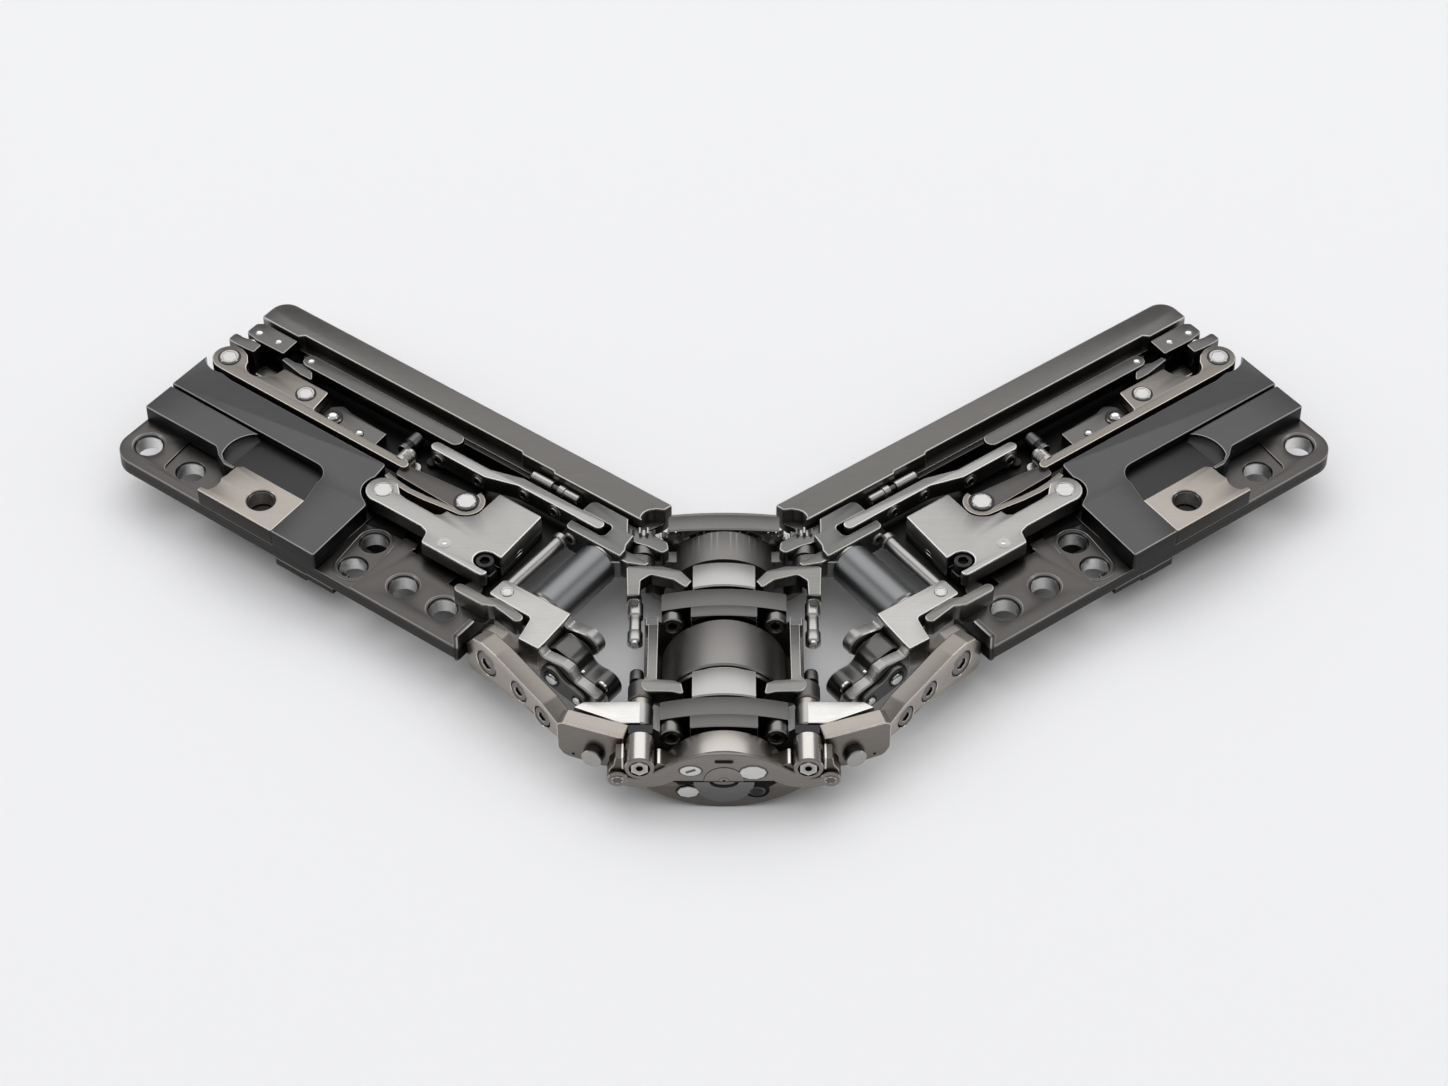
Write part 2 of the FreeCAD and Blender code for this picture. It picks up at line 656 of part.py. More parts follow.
def wing_nodes():
    """Every piece of a wing in the wing's own frame, by name."""
    return {
        "base_plate": [base_plate()],
        "cover_plate": [cover_plate()],
        "mounting_pad": [mounting_pad()],
        "edge_rail": [rail()],
        "long_lever": [long_lever()],
        "slide_links": slide_links(),
        "latch_bracket": [latch_bracket()],
        "short_link": [short_link()],
        "upper_arm": [upper_arm()],
        "lower_arm": [lower_arm()],
        "wing_pins": wing_pins(),
    }


def fold_room(radius, front, back):
    """Room round the fold axis, as a cutter."""
    return along_y(FOLD_X, FOLD_Z, radius, front, back)


def rear_block():
    """Rear slide block with its slot and the fork that holds the rear fold pin."""
    low, high = BLOCK_Z
    near, far = REAR_BLOCK_Q
    inner, outer = REAR_BLOCK_P
    body = slab([
        (inner, near, 0.3),
        (outer, near, 0.35),
        (outer, REAR_SLOT_Q[0]),
        (REAR_SLOT_P, REAR_SLOT_Q[0], 0.3),
        (REAR_SLOT_P, REAR_SLOT_Q[1], 0.3),
        (outer, REAR_SLOT_Q[1]),
        (outer, far, 0.45),
        (inner, far, 0.3),
    ], low, high)
    bevel = Part.Face(Part.makePolygon([
        V(inner - 1, near - 1, high - BLOCK_BEVEL),
        V(inner + BLOCK_BEVEL, near - 1, high + 1),
        V(inner - 1, near - 1, high + 1),
        V(inner - 1, near - 1, high - BLOCK_BEVEL),
    ])).extrude(V(0, far - near + 2, 0))
    body = to_world(body.cut(bevel))
    lug_room = LUG_Y[0] - SEAT_GAP, LUG_Y[1] + SEAT_GAP
    body = body.cut(fold_room(KNUCKLE_R + SEAT_GAP, lug_room[0], lug_room[1]))
    body = body.cut(fold_room(GEAR_ROOM, GEAR_Y[0] - RUN_GAP, GEAR_Y[1] + 1))
    near_prong = wall([
        (FOLD_X, FOLD_Z - KNUCKLE_R),
        (FOLD_X + PRONG_REACH, FOLD_Z - KNUCKLE_R + 0.2),
        (FOLD_X + PRONG_REACH, FOLD_Z + KNUCKLE_R),
        (FOLD_X, FOLD_Z + KNUCKLE_R),
    ], NEAR_PRONG_Y[0], NEAR_PRONG_Y[1])
    near_prong = near_prong.cut(to_world(along_y(BARREL_P, SHAFT_Z, BARREL_R + RUN_GAP, 0, near)))
    body = body.fuse(near_prong).fuse(fold_room(KNUCKLE_R, NEAR_PRONG_Y[0], NEAR_PRONG_Y[1]))
    body = body.fuse(fold_room(KNUCKLE_R, FAR_PRONG_Y[0], FAR_PRONG_Y[1]))
    body = body.cut(fold_room(PIN_R, NEAR_PRONG_Y[0] - 1, GEAR_Y[1] + 1))
    return tidy(body)


def front_block():
    """Front slide block with its slot and two prongs for the dark link."""
    low, high = BLOCK_Z
    near, far = FRONT_BLOCK_Q
    inner, outer = FRONT_BLOCK_P
    body = slab([
        (inner - 0.2, near, 0.2),
        (outer - 2.4, near, 0.3),
        (outer - 2.4, FRONT_SLOT_Q[0], 0.1),
        (FRONT_SLOT_P, FRONT_SLOT_Q[0], 0.25),
        (FRONT_SLOT_P, FRONT_SLOT_Q[1], 0.25),
        (outer, FRONT_SLOT_Q[1], 0.2),
        (outer, far, 0.3),
        (inner, far, 0.2),
        (inner, far - 0.7),
        (inner + 0.25, far - 0.7, 0.1),
        (inner + 0.25, near + 0.65, 0.1),
        (inner - 0.2, near + 0.65),
    ], low, high)
    far_prong = wall([
        (FAR_EYE[0] - 0.1, FAR_EYE[1] - 0.55, 0.5),
        (inner + 0.5, low + 0.1),
        (inner + 0.5, high),
        (inner - 0.1, high),
        (inner - 0.9, FAR_EYE[1] + 0.65),
        (FAR_EYE[0] - 0.1, FAR_EYE[1] + 0.65, 0.5),
    ], far - FAR_PRONG_WIDTH, far)
    far_prong = far_prong.fuse(along_y(FAR_EYE[0], FAR_EYE[1], PRONG_WIDTH, far - FAR_PRONG_WIDTH, far))
    near_prong = wall([
        (NEAR_EYE[0], NEAR_EYE[1] - 0.5),
        (inner + 0.3, low),
        (inner + 0.3, high),
        (inner - 0.4, high),
        (inner - 1.5, FAR_EYE[1] + 0.5, 0.4),
        (inner - 2.6, FAR_EYE[1] + 0.45, 0.5),
        (inner - 3.9, NEAR_EYE[1] + 0.75, 0.5),
        (NEAR_EYE[0], NEAR_EYE[1] + 0.55),
    ], near, near + PRONG_WIDTH)
    near_prong = near_prong.fuse(along_y(NEAR_EYE[0], NEAR_EYE[1], 0.6, near, near + PRONG_WIDTH))
    return tidy(body.fuse(far_prong).fuse(near_prong))


def side_links():
    """Dark link between the prongs and the slim link beside the near prong."""
    upper = wall([
        (FAR_EYE[0] + 0.75, FAR_EYE[1] - 0.75, 0.7),
        (FAR_EYE[0] + 0.75, FAR_EYE[1] + 0.75, 0.7),
        (FAR_EYE[0] - 0.3, FAR_EYE[1] + 0.75, 0.5),
        (NEAR_EYE[0] - 0.2, NEAR_EYE[1] + 0.5, 0.7),
        (NEAR_EYE[0] - 0.7, NEAR_EYE[1] - 0.6, 0.6),
        (NEAR_EYE[0] + 0.7, NEAR_EYE[1] - 0.75, 0.6),
    ], DARK_LINK_Q[0], DARK_LINK_Q[1])
    slim = wall(SLIM_LINK, FRONT_BLOCK_Q[0] - SLIM_WIDTH, FRONT_BLOCK_Q[0])
    return [upper, slim]


def cross_shafts():
    """Torque barrel and guide rod between the two slide blocks."""
    span = REAR_BLOCK_Q[0] - FRONT_BLOCK_Q[1]
    barrel = Part.makeCylinder(BARREL_R, span, V(BARREL_P, FRONT_BLOCK_Q[1], SHAFT_Z), V(0, 1, 0))
    ends = [edge for edge in barrel.Edges if edge.Curve.TypeId == "Part::GeomCircle"]
    barrel = barrel.makeChamfer(BARREL_CHAMFER, ends)
    rod = Part.makeCylinder(ROD_R, span, V(ROD_P, FRONT_BLOCK_Q[1], SHAFT_Z), V(0, 1, 0))
    return [barrel, rod]


def wing_place(p, q):
    """A place in the wing's frame, turned to the hinge's directions but not yet moved."""
    turn = math.radians(WING_ANGLE)
    return V(math.cos(turn) * p - math.sin(turn) * q, math.sin(turn) * p + math.cos(turn) * q, 0)


def wing_origin():
    """Where the wing's frame starts, so that the rear block's inner corner stays beside the spine."""
    return V(WING_HOLD[0], WING_HOLD[1], 0) - wing_place(REAR_BLOCK_P[0], REAR_BLOCK_Q[1])


def to_world(shape):
    """From the wing's frame to the hinge's, on the right-hand side."""
    placed = shape.copy()
    placed.rotate(V(0, 0, 0), V(0, 0, 1), WING_ANGLE)
    placed.translate(wing_origin())
    return placed


def on_arm(shape):
    """From the arm's own line to the hinge's frame: it points from its foot to its place on the wing."""
    aim = wing_origin() + wing_place(ARM_AIM[0], ARM_AIM[1])
    yaw = math.degrees(math.atan2(aim.y - ARM_FOOT[1], aim.x - ARM_FOOT[0]))
    placed = shape.copy()
    placed.rotate(V(0, 0, 0), V(0, 0, 1), yaw)
    placed.translate(V(ARM_FOOT[0], ARM_FOOT[1], 0))
    return placed


def arm_screw(along, height, rim):
    """Countersunk head in the arm's face, as a solid or as the cutter of its seat."""
    return Part.makeCone(rim, rim - SCREW_DEPTH, SCREW_DEPTH, V(along, 0, height), V(0, 1, 0))


def front_arm():
    """Bronze arm from the wing's end to the fold axis, with its flat toe."""
    arm = wall(ARM_SIDE, 0, ARM_THICK)
    for along, height in ARM_SCREWS:
        arm = arm.cut(arm_screw(along, height, SCREW_HEAD_R))
    arm = on_arm(arm)
    toe = slab([
        (TOE[0][0], TOE[0][1], 0.3),
        (TOE[1][0], TOE[1][1], 0.15),
        (TOE[2][0], TOE[2][1]),
        (TOE[3][0], TOE[3][1]),
    ], TOE_Z[0], TOE_Z[1])
    spacer = to_world(wall(SPACER, ARM_AIM[1] + ARM_THICK - SPACER_SINK, FRONT_BLOCK_Q[0]))
    toe = toe.cut(toe_pin())
    return tidy(arm.fuse(toe).fuse(spacer))


def toe_pin():
    """Round pin that stands proud of the toe's face."""
    return along_y(TOE_PIN[0], TOE_PIN[1], TOE_PIN[2], TOE_PIN_Y[0], TOE_PIN_Y[1])


def gusset():
    """Silver gusset whose knuckle turns on the front fold pin."""
    high = FOLD_Z + KNUCKLE_R
    plate = slab([
        (FOLD_X, KNUCKLE_Y[0]),
        (FOLD_X + 1.08, KNUCKLE_Y[0]),
        (8.44, 4.05),
        (7.9, 4.45, 0.2),
        (FOLD_X, KNUCKLE_Y[1]),
    ], high - GUSSET_THICK, high)
    body = plate.fuse(fold_room(KNUCKLE_R, KNUCKLE_Y[0], KNUCKLE_Y[1]))
    body = body.cut(fold_room(PIN_R + PIN_FIT, KNUCKLE_Y[0] - 1, KNUCKLE_Y[1] + 1))
    return tidy(body.cut(front_arm()))


def t_bracket():
    """Bracket on the front fold pin: boss, long bar to the back and a hook to the saddle."""
    top = FOLD_Z + KNUCKLE_R
    bar = box(BAR_X[0], BAR_X[1], BOSS_Y[0] + 0.4, TAIL_Y[0], FOLD_Z - BAR_LOW, top)
    hook = slab([
        (HOOK_REACH, BOSS_Y[0] + 0.35, 0.25),
        (FOLD_X, BOSS_Y[0] + 0.1),
        (FOLD_X, BOSS_Y[0] + 1.2),
        (BAR_X[0], BOSS_Y[0] + 1.35, 0.3),
        (HOOK_REACH + 0.5, BOSS_Y[0] + 1.2, 0.3),
        (HOOK_REACH, BOSS_Y[0] + 0.95, 0.2),
    ], FOLD_Z + 0.02, top)
    tail = box(BAR_X[0] + 0.25, FOLD_X + 0.2, TAIL_Y[0], TAIL_Y[1], FOLD_Z - 0.4, FOLD_Z + TAIL_HIGH)
    boss = fold_room(KNUCKLE_R, BOSS_Y[0], BOSS_Y[1])
    body = bar.fuse(hook).fuse(tail).fuse(boss)
    return tidy(body.cut(fold_room(PIN_R + PIN_FIT, BOSS_Y[0] - 1, BOSS_Y[1] + 0.3)))


def bent_bracket():
    """Angled bracket from the rear block: a leg to the front and a hook to the saddle."""
    return slab(BENT_TOP, FOLD_Z, FOLD_Z + KNUCKLE_R + 0.1)


def drop_link():
    """Small link that ties the two brackets together."""
    low = FOLD_Z - BAR_LOW
    high = FOLD_Z + TAIL_HIGH
    return wall([
        (DROP_X - DROP_HALF, low, 0.3),
        (DROP_X + DROP_HALF, low, 0.3),
        (DROP_X + DROP_HALF, high, 0.2),
        (DROP_X - DROP_HALF, high, 0.2),
    ], DROP_Y[0], DROP_Y[1])


def carriage_pins():
    """Pins, rings and screws of one carriage."""
    ring = along_y(FOLD_X, FOLD_Z, RING_WIDTH, KNUCKLE_Y[1], BOSS_Y[0])
    ring = ring.cut(fold_room(PIN_R + PIN_FIT, 0, REACH))
    dome = along_y(FOLD_X + DOME[0], FOLD_Z + DOME[1], DOME[2], BOSS_Y[1], BOSS_Y[1] + DOME[3])
    solids = [ring, dome]
    for along, height in ARM_SCREWS:
        rim = SCREW_HEAD_R - SCREW_FIT
        solids.append(on_arm(arm_screw(along, height, rim)))
    near, far = FRONT_BLOCK_Q
    for p, z in (FAR_EYE, NEAR_EYE):
        solids.append(to_world(along_y(p, z, EYE_PIN_R, DARK_LINK_Q[1], far - FAR_PRONG_WIDTH)))
    solids.append(to_world(along_y(FAR_EYE[0], FAR_EYE[1], PIN_END[0], far, far + PIN_END[1])))
    solids.append(to_world(along_y(NEAR_EYE[0], NEAR_EYE[1], WASHER_R, near + PRONG_WIDTH, DARK_LINK_Q[0])))
    for p, z in SLIM_SCREWS:
        front = near - SLIM_WIDTH
        solids.append(to_world(along_y(p, z, SLIM_SCREW_R, front - PIN_END[1], front)))
    solids.append(toe_pin())
    return solids


def gear(axis_x, front, back, half_tooth_turn):
    """Spur gear on an axis along Y: straight-sided teeth round a disc."""
    pitch_r = GEAR_PITCH_R
    tip_r = pitch_r + GEAR_ADDENDUM
    root_r = pitch_r - GEAR_ADDENDUM * GEAR_ROOT
    step = 2 * math.pi / GEAR_TEETH
    outline = []
    for tooth in range(GEAR_TEETH):
        middle = step * (tooth + (0.5 if half_tooth_turn else 0))
        for radius, share in [
            (root_r, -TOOTH_ROOT_SHARE),
            (tip_r, -TOOTH_TIP_SHARE),
            (tip_r, TOOTH_TIP_SHARE),
            (root_r, TOOTH_ROOT_SHARE),
        ]:
            angle = middle + share * step
            outline.append((axis_x + radius * math.cos(angle), FOLD_Z + radius * math.sin(angle)))
    return wall(outline, front, back)


def pinion(side):
    """Rear fold pin of one side with the timing gear fixed to its end."""
    pin = along_y(side * FOLD_X, FOLD_Z, PIN_R, REAR_PIN_Y[0], REAR_PIN_Y[1])
    wheel = gear(side * FOLD_X, GEAR_Y[0], GEAR_Y[1], side > 0)
    return tidy(pin.fuse(wheel))


def carriage_nodes():
    """Every piece of the right-hand carriage in the hinge's frame, by name."""
    return {
        "rear_block": [rear_block()],
        "front_block": [to_world(front_block())],
        "side_links": [to_world(piece) for piece in side_links()],
        "cross_shafts": [to_world(piece) for piece in cross_shafts()],
        "front_arm": [front_arm()],
        "gusset": [gusset()],
        "t_bracket": [t_bracket()],
        "bent_bracket": [bent_bracket()],
        "drop_link": [drop_link()],
        "carriage_pins": carriage_pins(),
    }


def arc_top(half, centre_high, edge_high, low):
    """XZ face under a shallow arch, flat below."""
    edges = [
        Part.Arc(V(-half, 0, edge_high), V(0, 0, centre_high), V(half, 0, edge_high)).toShape(),
        Part.LineSegment(V(half, 0, edge_high), V(half, 0, low)).toShape(),
        Part.LineSegment(V(half, 0, low), V(-half, 0, low)).toShape(),
        Part.LineSegment(V(-half, 0, low), V(-half, 0, edge_high)).toShape(),
    ]
    return Part.Face(Part.Wire(edges))


def arch(half, centre_high, edge_high, low, front, back):
    """Solid under a shallow arch, between two places along the spine."""
    face = arc_top(half, centre_high, edge_high, low)
    face.translate(V(0, front, 0))
    return face.extrude(V(0, back - front, 0))


def shell_radius():
    """Radius of the rounded underside, from its half width and rise."""
    return (COVER_HALF ** 2 + COVER_RISE ** 2) / (2 * COVER_RISE)


def inside_shell(front, back):
    """Everything above the inner face of the underside shell, as a common tool."""
    inner = shell_radius() - SHELL - RUN_GAP
    room = along_y(0, shell_radius(), inner, front, back)
    return room.fuse(box(-9, 9, front, back, COVER_RISE + 0.2, 9))


def drum(front, back):
    """Disc of the spine, round above and flat where it meets the shell."""
    body = along_y(0, DRUM_Z, DRUM_R, front, back)
    return body.common(inside_shell(front, back))


def spine_cover():
    """Curved underside shell with a front wall, open beside the saddles for the hooks."""
    big = shell_radius()
    back = BRIDGE_Y[1]
    outer = along_y(0, big, big, 0.15, back)
    inner = along_y(0, big, big - SHELL, 0, back + 1)
    body = outer.cut(inner).common(box(-COVER_HALF, COVER_HALF, 0, back, -1, COVER_RISE))
    for span in (FRONT_SADDLE_Y, REAR_SADDLE_Y):
        for side in (-1, 1):
            edge = side * SHELL_SLOT_X
            left = min(edge, side * 6)
            right = max(edge, side * 6)
            body = body.cut(box(left, right, span[0] - SEAT_GAP, span[1] + SEAT_GAP, -1, 3))
    front, inside = WALL_Y
    face = along_y(0, big, big - SHELL, front, inside)
    face = face.common(box(-WALL_HALF, WALL_HALF, front, inside, -1, SEAM_Z - 0.02))
    boss = along_y(0, SEAM_Z, WALL_BOSS_R, RUN_GAP, front).common(box(-2, 2, 0, front, 0, SEAM_Z - 0.02))
    body = body.fuse(face).fuse(boss)
    return tidy(body.cut(along_y(0, SEAM_Z, SHAFT_R + RUN_GAP, 0, 1)))


def end_cap():
    """Front cap: arched drum face, two ears and the cradles that hold the front bushes."""
    body = along_y(0, DRUM_Z, DRUM_R, CAP_FRONT, ARCH_DEPTH).common(box(-5, 5, 0, 3, SEAM_Z, 6))
    for side in (-1, 1):
        ear = wall([(side * corner[0],) + corner[1:] for corner in EAR], EAR_FRONT, CAP_DEPTH)
        body = body.fuse(ear)
        body = body.cut(along_y(side * FOLD_X, FOLD_Z, BUSH_R, -1, ARCH_DEPTH + 1))
    boss = along_y(0, SEAM_Z, CAP_BOSS[0], 0, CAP_BOSS[1]).common(box(-2, 2, 0, CAP_BOSS[1], SEAM_Z, 4))
    body = body.fuse(boss)
    return tidy(body.cut(along_y(0, SEAM_Z, SHAFT_R + RUN_GAP, -1, 3)))


def collar(span):
    """Dark collar with a notch at each front corner for a cam roller."""
    body = arch(COLLAR_HALF, SPINE_TOP, COLLAR_SHOULDER, COLLAR_LOW, span[0], span[1])
    waist = along_y(0, DRUM_Z, DRUM_R - WAIST_STEP, span[0], span[1]).common(inside_shell(span[0], span[1]))
    body = body.fuse(waist)
    for side in (-1, 1):
        edge = side * NOTCH_X
        notch = box(min(edge, side * 5), max(edge, side * 5), span[0] - 1, span[1] - EAR_DEPTH, 1.0, 9)
        body = body.cut(notch)
    return tidy(body)


def saddle(span):
    """Bright saddle between a collar and the next drum."""
    body = arch(SADDLE_HALF, SPINE_TOP, SPINE_TOP - SADDLE_DROP, SADDLE_LOW, span[0], span[1])
    return body.common(inside_shell(span[0], span[1]))


def rear_drum():
    """Rear drum with the lugs that the rear fold pins turn in."""
    body = drum(REAR_DRUM_Y[0], REAR_DRUM_Y[1])
    for side in (-1, 1):
        lug = wall([
            (side * LUG_ROOT[0][0], LUG_ROOT[0][1]),
            (side * (FOLD_X - 0.3), FOLD_Z - KNUCKLE_R + 0.02),
            (side * FOLD_X, FOLD_Z),
            (side * LUG_ROOT[1][0], LUG_ROOT[1][1]),
        ], LUG_Y[0], LUG_Y[1])
        eye = along_y(side * FOLD_X, FOLD_Z, KNUCKLE_R, LUG_Y[0], LUG_Y[1])
        body = body.fuse(lug).fuse(eye)
        body = body.cut(along_y(side * FOLD_X, FOLD_Z, PIN_R + PIN_FIT, LUG_Y[0] - 1, LUG_Y[1] + 1))
    return tidy(body)


def bridge_plate():
    """Rear plate with an arched top, which closes the back of the spine."""
    front, back = BRIDGE_Y
    body = arch(BRIDGE_HALF, SPINE_TOP, SPINE_TOP - BRIDGE_DROP, BRIDGE_LOW, front, back)
    foot = [(-BRIDGE_HALF, BRIDGE_LOW)] + BRIDGE_LEG + [(BRIDGE_HALF, BRIDGE_LOW)]
    leg = wall(foot, front, back).common(inside_shell(front, back))
    return tidy(body.fuse(leg))


def collar_rollers():
    """Cam rollers in the front corners of both collars."""
    solids = []
    for span in (FRONT_COLLAR_Y, REAR_COLLAR_Y):
        for side in (-1, 1):
            end = span[1] - EAR_DEPTH
            solids.append(along_y(side * ROLLER_X, ROLLER_Z, ROLLER_R, span[0] + ROLLER_IN, end))
    return solids


def fold_bushes():
    """Front fold pins with their bushes."""
    solids = []
    for side in (-1, 1):
        bush = along_y(side * FOLD_X, FOLD_Z, BUSH_R, 0, BUSH_BACK)
        bush = bush.cut(along_y(side * FOLD_X, FOLD_Z, BUSH_HOLLOW[0], -1, BUSH_HOLLOW[1]))
        pin = along_y(side * FOLD_X, FOLD_Z, PIN_R, BUSH_BACK, BOSS_Y[1] - RUN_GAP)
        solids.append(bush.fuse(pin))
    return solids


def friction_blocks():
    """Dark friction blocks between bush and knuckle."""
    solids = []
    for side in (-1, 1):
        wide, deep, tall = FRICTION_SIZE
        front, low = FRICTION_AT
        left = min(side * FRICTION_X, side * (FRICTION_X + wide))
        body = box(left, left + wide, front, front + deep, low, low + tall)
        solids.append(body.cut(along_y(side * FOLD_X, FOLD_Z, PIN_R, 0, REACH)))
    return solids


def spine_nodes():
    """Every piece of the spine, by name."""
    shaft = along_y(0, SEAM_Z, SHAFT_R, 0.02, REAR_DRUM_Y[1])
    nodes = {
        "end_cap": [end_cap()],
        "spine_cover": [spine_cover()],
        "front_collar": [collar(FRONT_COLLAR_Y)],
        "saddles": [saddle(FRONT_SADDLE_Y), saddle(REAR_SADDLE_Y)],
        "main_barrel": [drum(BARREL_Y[0], BARREL_Y[1])],
        "rear_collar": [collar(REAR_COLLAR_Y)],
        "rear_drum": [rear_drum()],
    }
    bore = along_y(0, SEAM_Z, SHAFT_R, -1, REACH)
    for name in nodes:
        if name not in ("end_cap", "spine_cover"):
            nodes[name] = [piece.cut(bore) for piece in nodes[name]]
    nodes["centre_shaft"] = [shaft]
    nodes["bridge_plate"] = [bridge_plate()]
    nodes["collar_rollers"] = collar_rollers()
    nodes["fold_bushes"] = fold_bushes()
    nodes["friction_blocks"] = friction_blocks()
    return nodes


def idler_nodes():
    """Four idler gears between the two pinions, each with its own axle."""
    nodes = {}
    names = ["left_outer_idler", "left_inner_idler", "right_inner_idler", "right_outer_idler"]
    for index, name in enumerate(names):
        axis = -FOLD_X + 2 * GEAR_PITCH_R * (index + 1)
        wheel = gear(axis, GEAR_Y[0], GEAR_Y[1], index % 2 == 0)
        axle = along_y(axis, FOLD_Z, GEAR_AXLE, REAR_DRUM_Y[1], BRIDGE_Y[0])
        nodes[name] = [tidy(wheel.fuse(axle))]
    return nodes


def mirrored(shape):
    """The same piece on the left-hand side."""
    return shape.mirror(V(0, 0, 0), V(1, 0, 0))


def origin_shift():
    """Moves the middle of the hinge's depth to Y = 0."""
    far = wing_origin() + wing_place(RAIL_OUT - RAIL_CORNER, RAIL_FAR - RAIL_CORNER)
    return V(0, -(far.y + RAIL_CORNER) / 2, 0)


def all_nodes():
    """Every node's solids in the hinge's frame, by name."""
    nodes = dict(spine_nodes())
    nodes.update(idler_nodes())
    sides = {name: [to_world(piece) for piece in pieces] for name, pieces in wing_nodes().items()}
    sides.update(carriage_nodes())
    nodes["left_pinion"] = [pinion(-1)]
    nodes["right_pinion"] = [pinion(1)]
    for name, pieces in sides.items():
        nodes["right_" + name] = pieces
        nodes["left_" + name] = [mirrored(piece) for piece in pieces]
    return nodes


def write_all():
    """Writes one STEP file for each node, moved to the hinge's origin."""
    shift = origin_shift()
    for name, pieces in all_nodes().items():
        shape = pieces[0] if len(pieces) == 1 else Part.makeCompound(pieces)
        shape = shape.copy()
        shape.translate(shift)
        shape.exportStep("parts/" + name + ".step")


write_all()
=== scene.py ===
import math

import bpy
import numpy as np
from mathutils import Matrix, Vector
from mathutils.geometry import tessellate_polygon


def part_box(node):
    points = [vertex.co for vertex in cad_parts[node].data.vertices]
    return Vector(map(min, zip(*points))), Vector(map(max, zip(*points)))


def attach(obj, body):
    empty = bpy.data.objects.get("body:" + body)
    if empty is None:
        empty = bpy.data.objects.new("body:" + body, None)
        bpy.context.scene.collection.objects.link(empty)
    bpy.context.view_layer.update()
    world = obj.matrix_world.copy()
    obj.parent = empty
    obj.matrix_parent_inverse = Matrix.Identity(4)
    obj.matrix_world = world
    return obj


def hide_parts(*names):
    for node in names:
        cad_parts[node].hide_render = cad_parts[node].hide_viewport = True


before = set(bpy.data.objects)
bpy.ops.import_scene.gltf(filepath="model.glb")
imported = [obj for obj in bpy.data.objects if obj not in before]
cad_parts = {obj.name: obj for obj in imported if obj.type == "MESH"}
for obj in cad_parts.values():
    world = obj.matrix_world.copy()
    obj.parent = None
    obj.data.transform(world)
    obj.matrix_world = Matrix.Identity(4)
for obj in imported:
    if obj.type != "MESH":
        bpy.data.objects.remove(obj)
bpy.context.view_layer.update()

# Folding phone hinge. All sizes are in millimetres until a mesh is made.
# A wing's own frame has p outward along the wing, q across it towards the back, z up.
MM = 0.001
SIDES = {"left": -1, "right": 1}
WING_ANGLE = 37.0
ARM_YAW = 48.0
ARM_FOOT = (8.95, 3.05)
FRONT_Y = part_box("fold_bushes")[0].y / MM
FOLD_X = 4.7
FOLD_Z = 3.28

# Heights in a wing
PLATE_LOW = 2.2
FLOOR_TOP = 2.9
PLATE_TOP = 3.3
STEP = 0.12
COVER_TOP = 4.5
STRIP_TOP = 4.4
PAD_TOP = 4.45
RAIL_TOP = 4.6
LEVER_TOP = 4.5
LEVER_LOW = 3.7
BRACKET_TOP = 4.6
BRACKET_LOW = 3.65
LINK_TOP = 4.35
BLOCK_LOW = 2.7
BLOCK_TOP = 4.5

# Places on a wing
WING_END = 44.985
WING_NEAR = -1.8
RING_A = (43.78, 7.88)
SCREW_S = (37.88, 8.2)
TAIL_BUSH = (29.18, 7.97)
RING_B = (28.69, 4.62)
PIN_C = (24.28, 6.97)
BAR_PIN = (39.57, 10.62)
BAR_END = (28.1, 10.62)
GROOVE_Q = 3.99
HOLES = {"corner": (43.4, 0.08), "second": (39.9, -0.08), "slot_far": (27.2, 1.96),
         "slot_near": (26.9, -0.3), "third": (23.5, 0.2), "inner": (20.5, 0.2)}
HOLE_R = 0.8
SINK = 0.26
RING_R = 1.06


# Shapes: every function returns (corners, faces, finish names), and a piece is a list of them.

def outline(points, steps=5):
    """Closed line through corners (x, y) or (x, y, radius). A radius becomes an arc of equal steps
    that touches both sides of its corner. An array in the list is taken as points already made."""
    count = len(points)
    corner = [p if isinstance(p, np.ndarray) else np.array(p[:2], float) for p in points]
    parts = []
    for i, p in enumerate(points):
        here = corner[i]
        if here.ndim == 2:
            parts.append(here)
            continue
        radius = p[2] if len(p) > 2 else 0
        if radius == 0:
            parts.append(here[None])
            continue
        before = corner[i - 1]
        after = corner[(i + 1) % count]
        back = (before[-1] if before.ndim == 2 else before) - here
        ahead = (after[0] if after.ndim == 2 else after) - here
        back = back / np.linalg.norm(back)
        ahead = ahead / np.linalg.norm(ahead)
        if np.linalg.norm(back + ahead) < 1e-3:
            parts.append(here[None])
            continue
        half = math.acos(np.clip(back @ ahead, -1, 1)) / 2
        middle = (back + ahead) / np.linalg.norm(back + ahead)
        centre = here + middle * radius / math.sin(half)
        start = here + back * radius / math.tan(half) - centre
        sweep = (math.pi - 2 * half) * np.sign(back[1] * ahead[0] - back[0] * ahead[1])
        turn = np.linspace(0, sweep, steps + 1)
        parts.append(centre + np.stack([start[0] * np.cos(turn) - start[1] * np.sin(turn),
                                        start[0] * np.sin(turn) + start[1] * np.cos(turn)], 1))
    line = np.concatenate(parts)
    area = np.sum(line[:, 0] * np.roll(line[:, 1], -1) - line[:, 1] * np.roll(line[:, 0], -1))
    return line if area > 0 else line[::-1]


def arc(centre, radius, start, end, steps=12):
    """Points on a circle from one angle to another, in degrees."""
    turn = np.radians(np.linspace(start, end, steps + 1))
    return np.stack([centre[0] + radius * np.cos(turn), centre[1] + radius * np.sin(turn)], 1)


def circle(centre, radius, sides=36):
    """Closed circle, counterclockwise."""
    return arc(centre, radius, 0, 360, sides)[:-1]


def capsule(a, b, half, steps=12):
    """Outline of a flat link: a half circle round each of two centres."""
    lean = math.degrees(math.atan2(b[1] - a[1], b[0] - a[0]))
    return np.concatenate([arc(b, half, lean - 90, lean + 90, steps), arc(a, half, lean + 90, lean + 270, steps)])


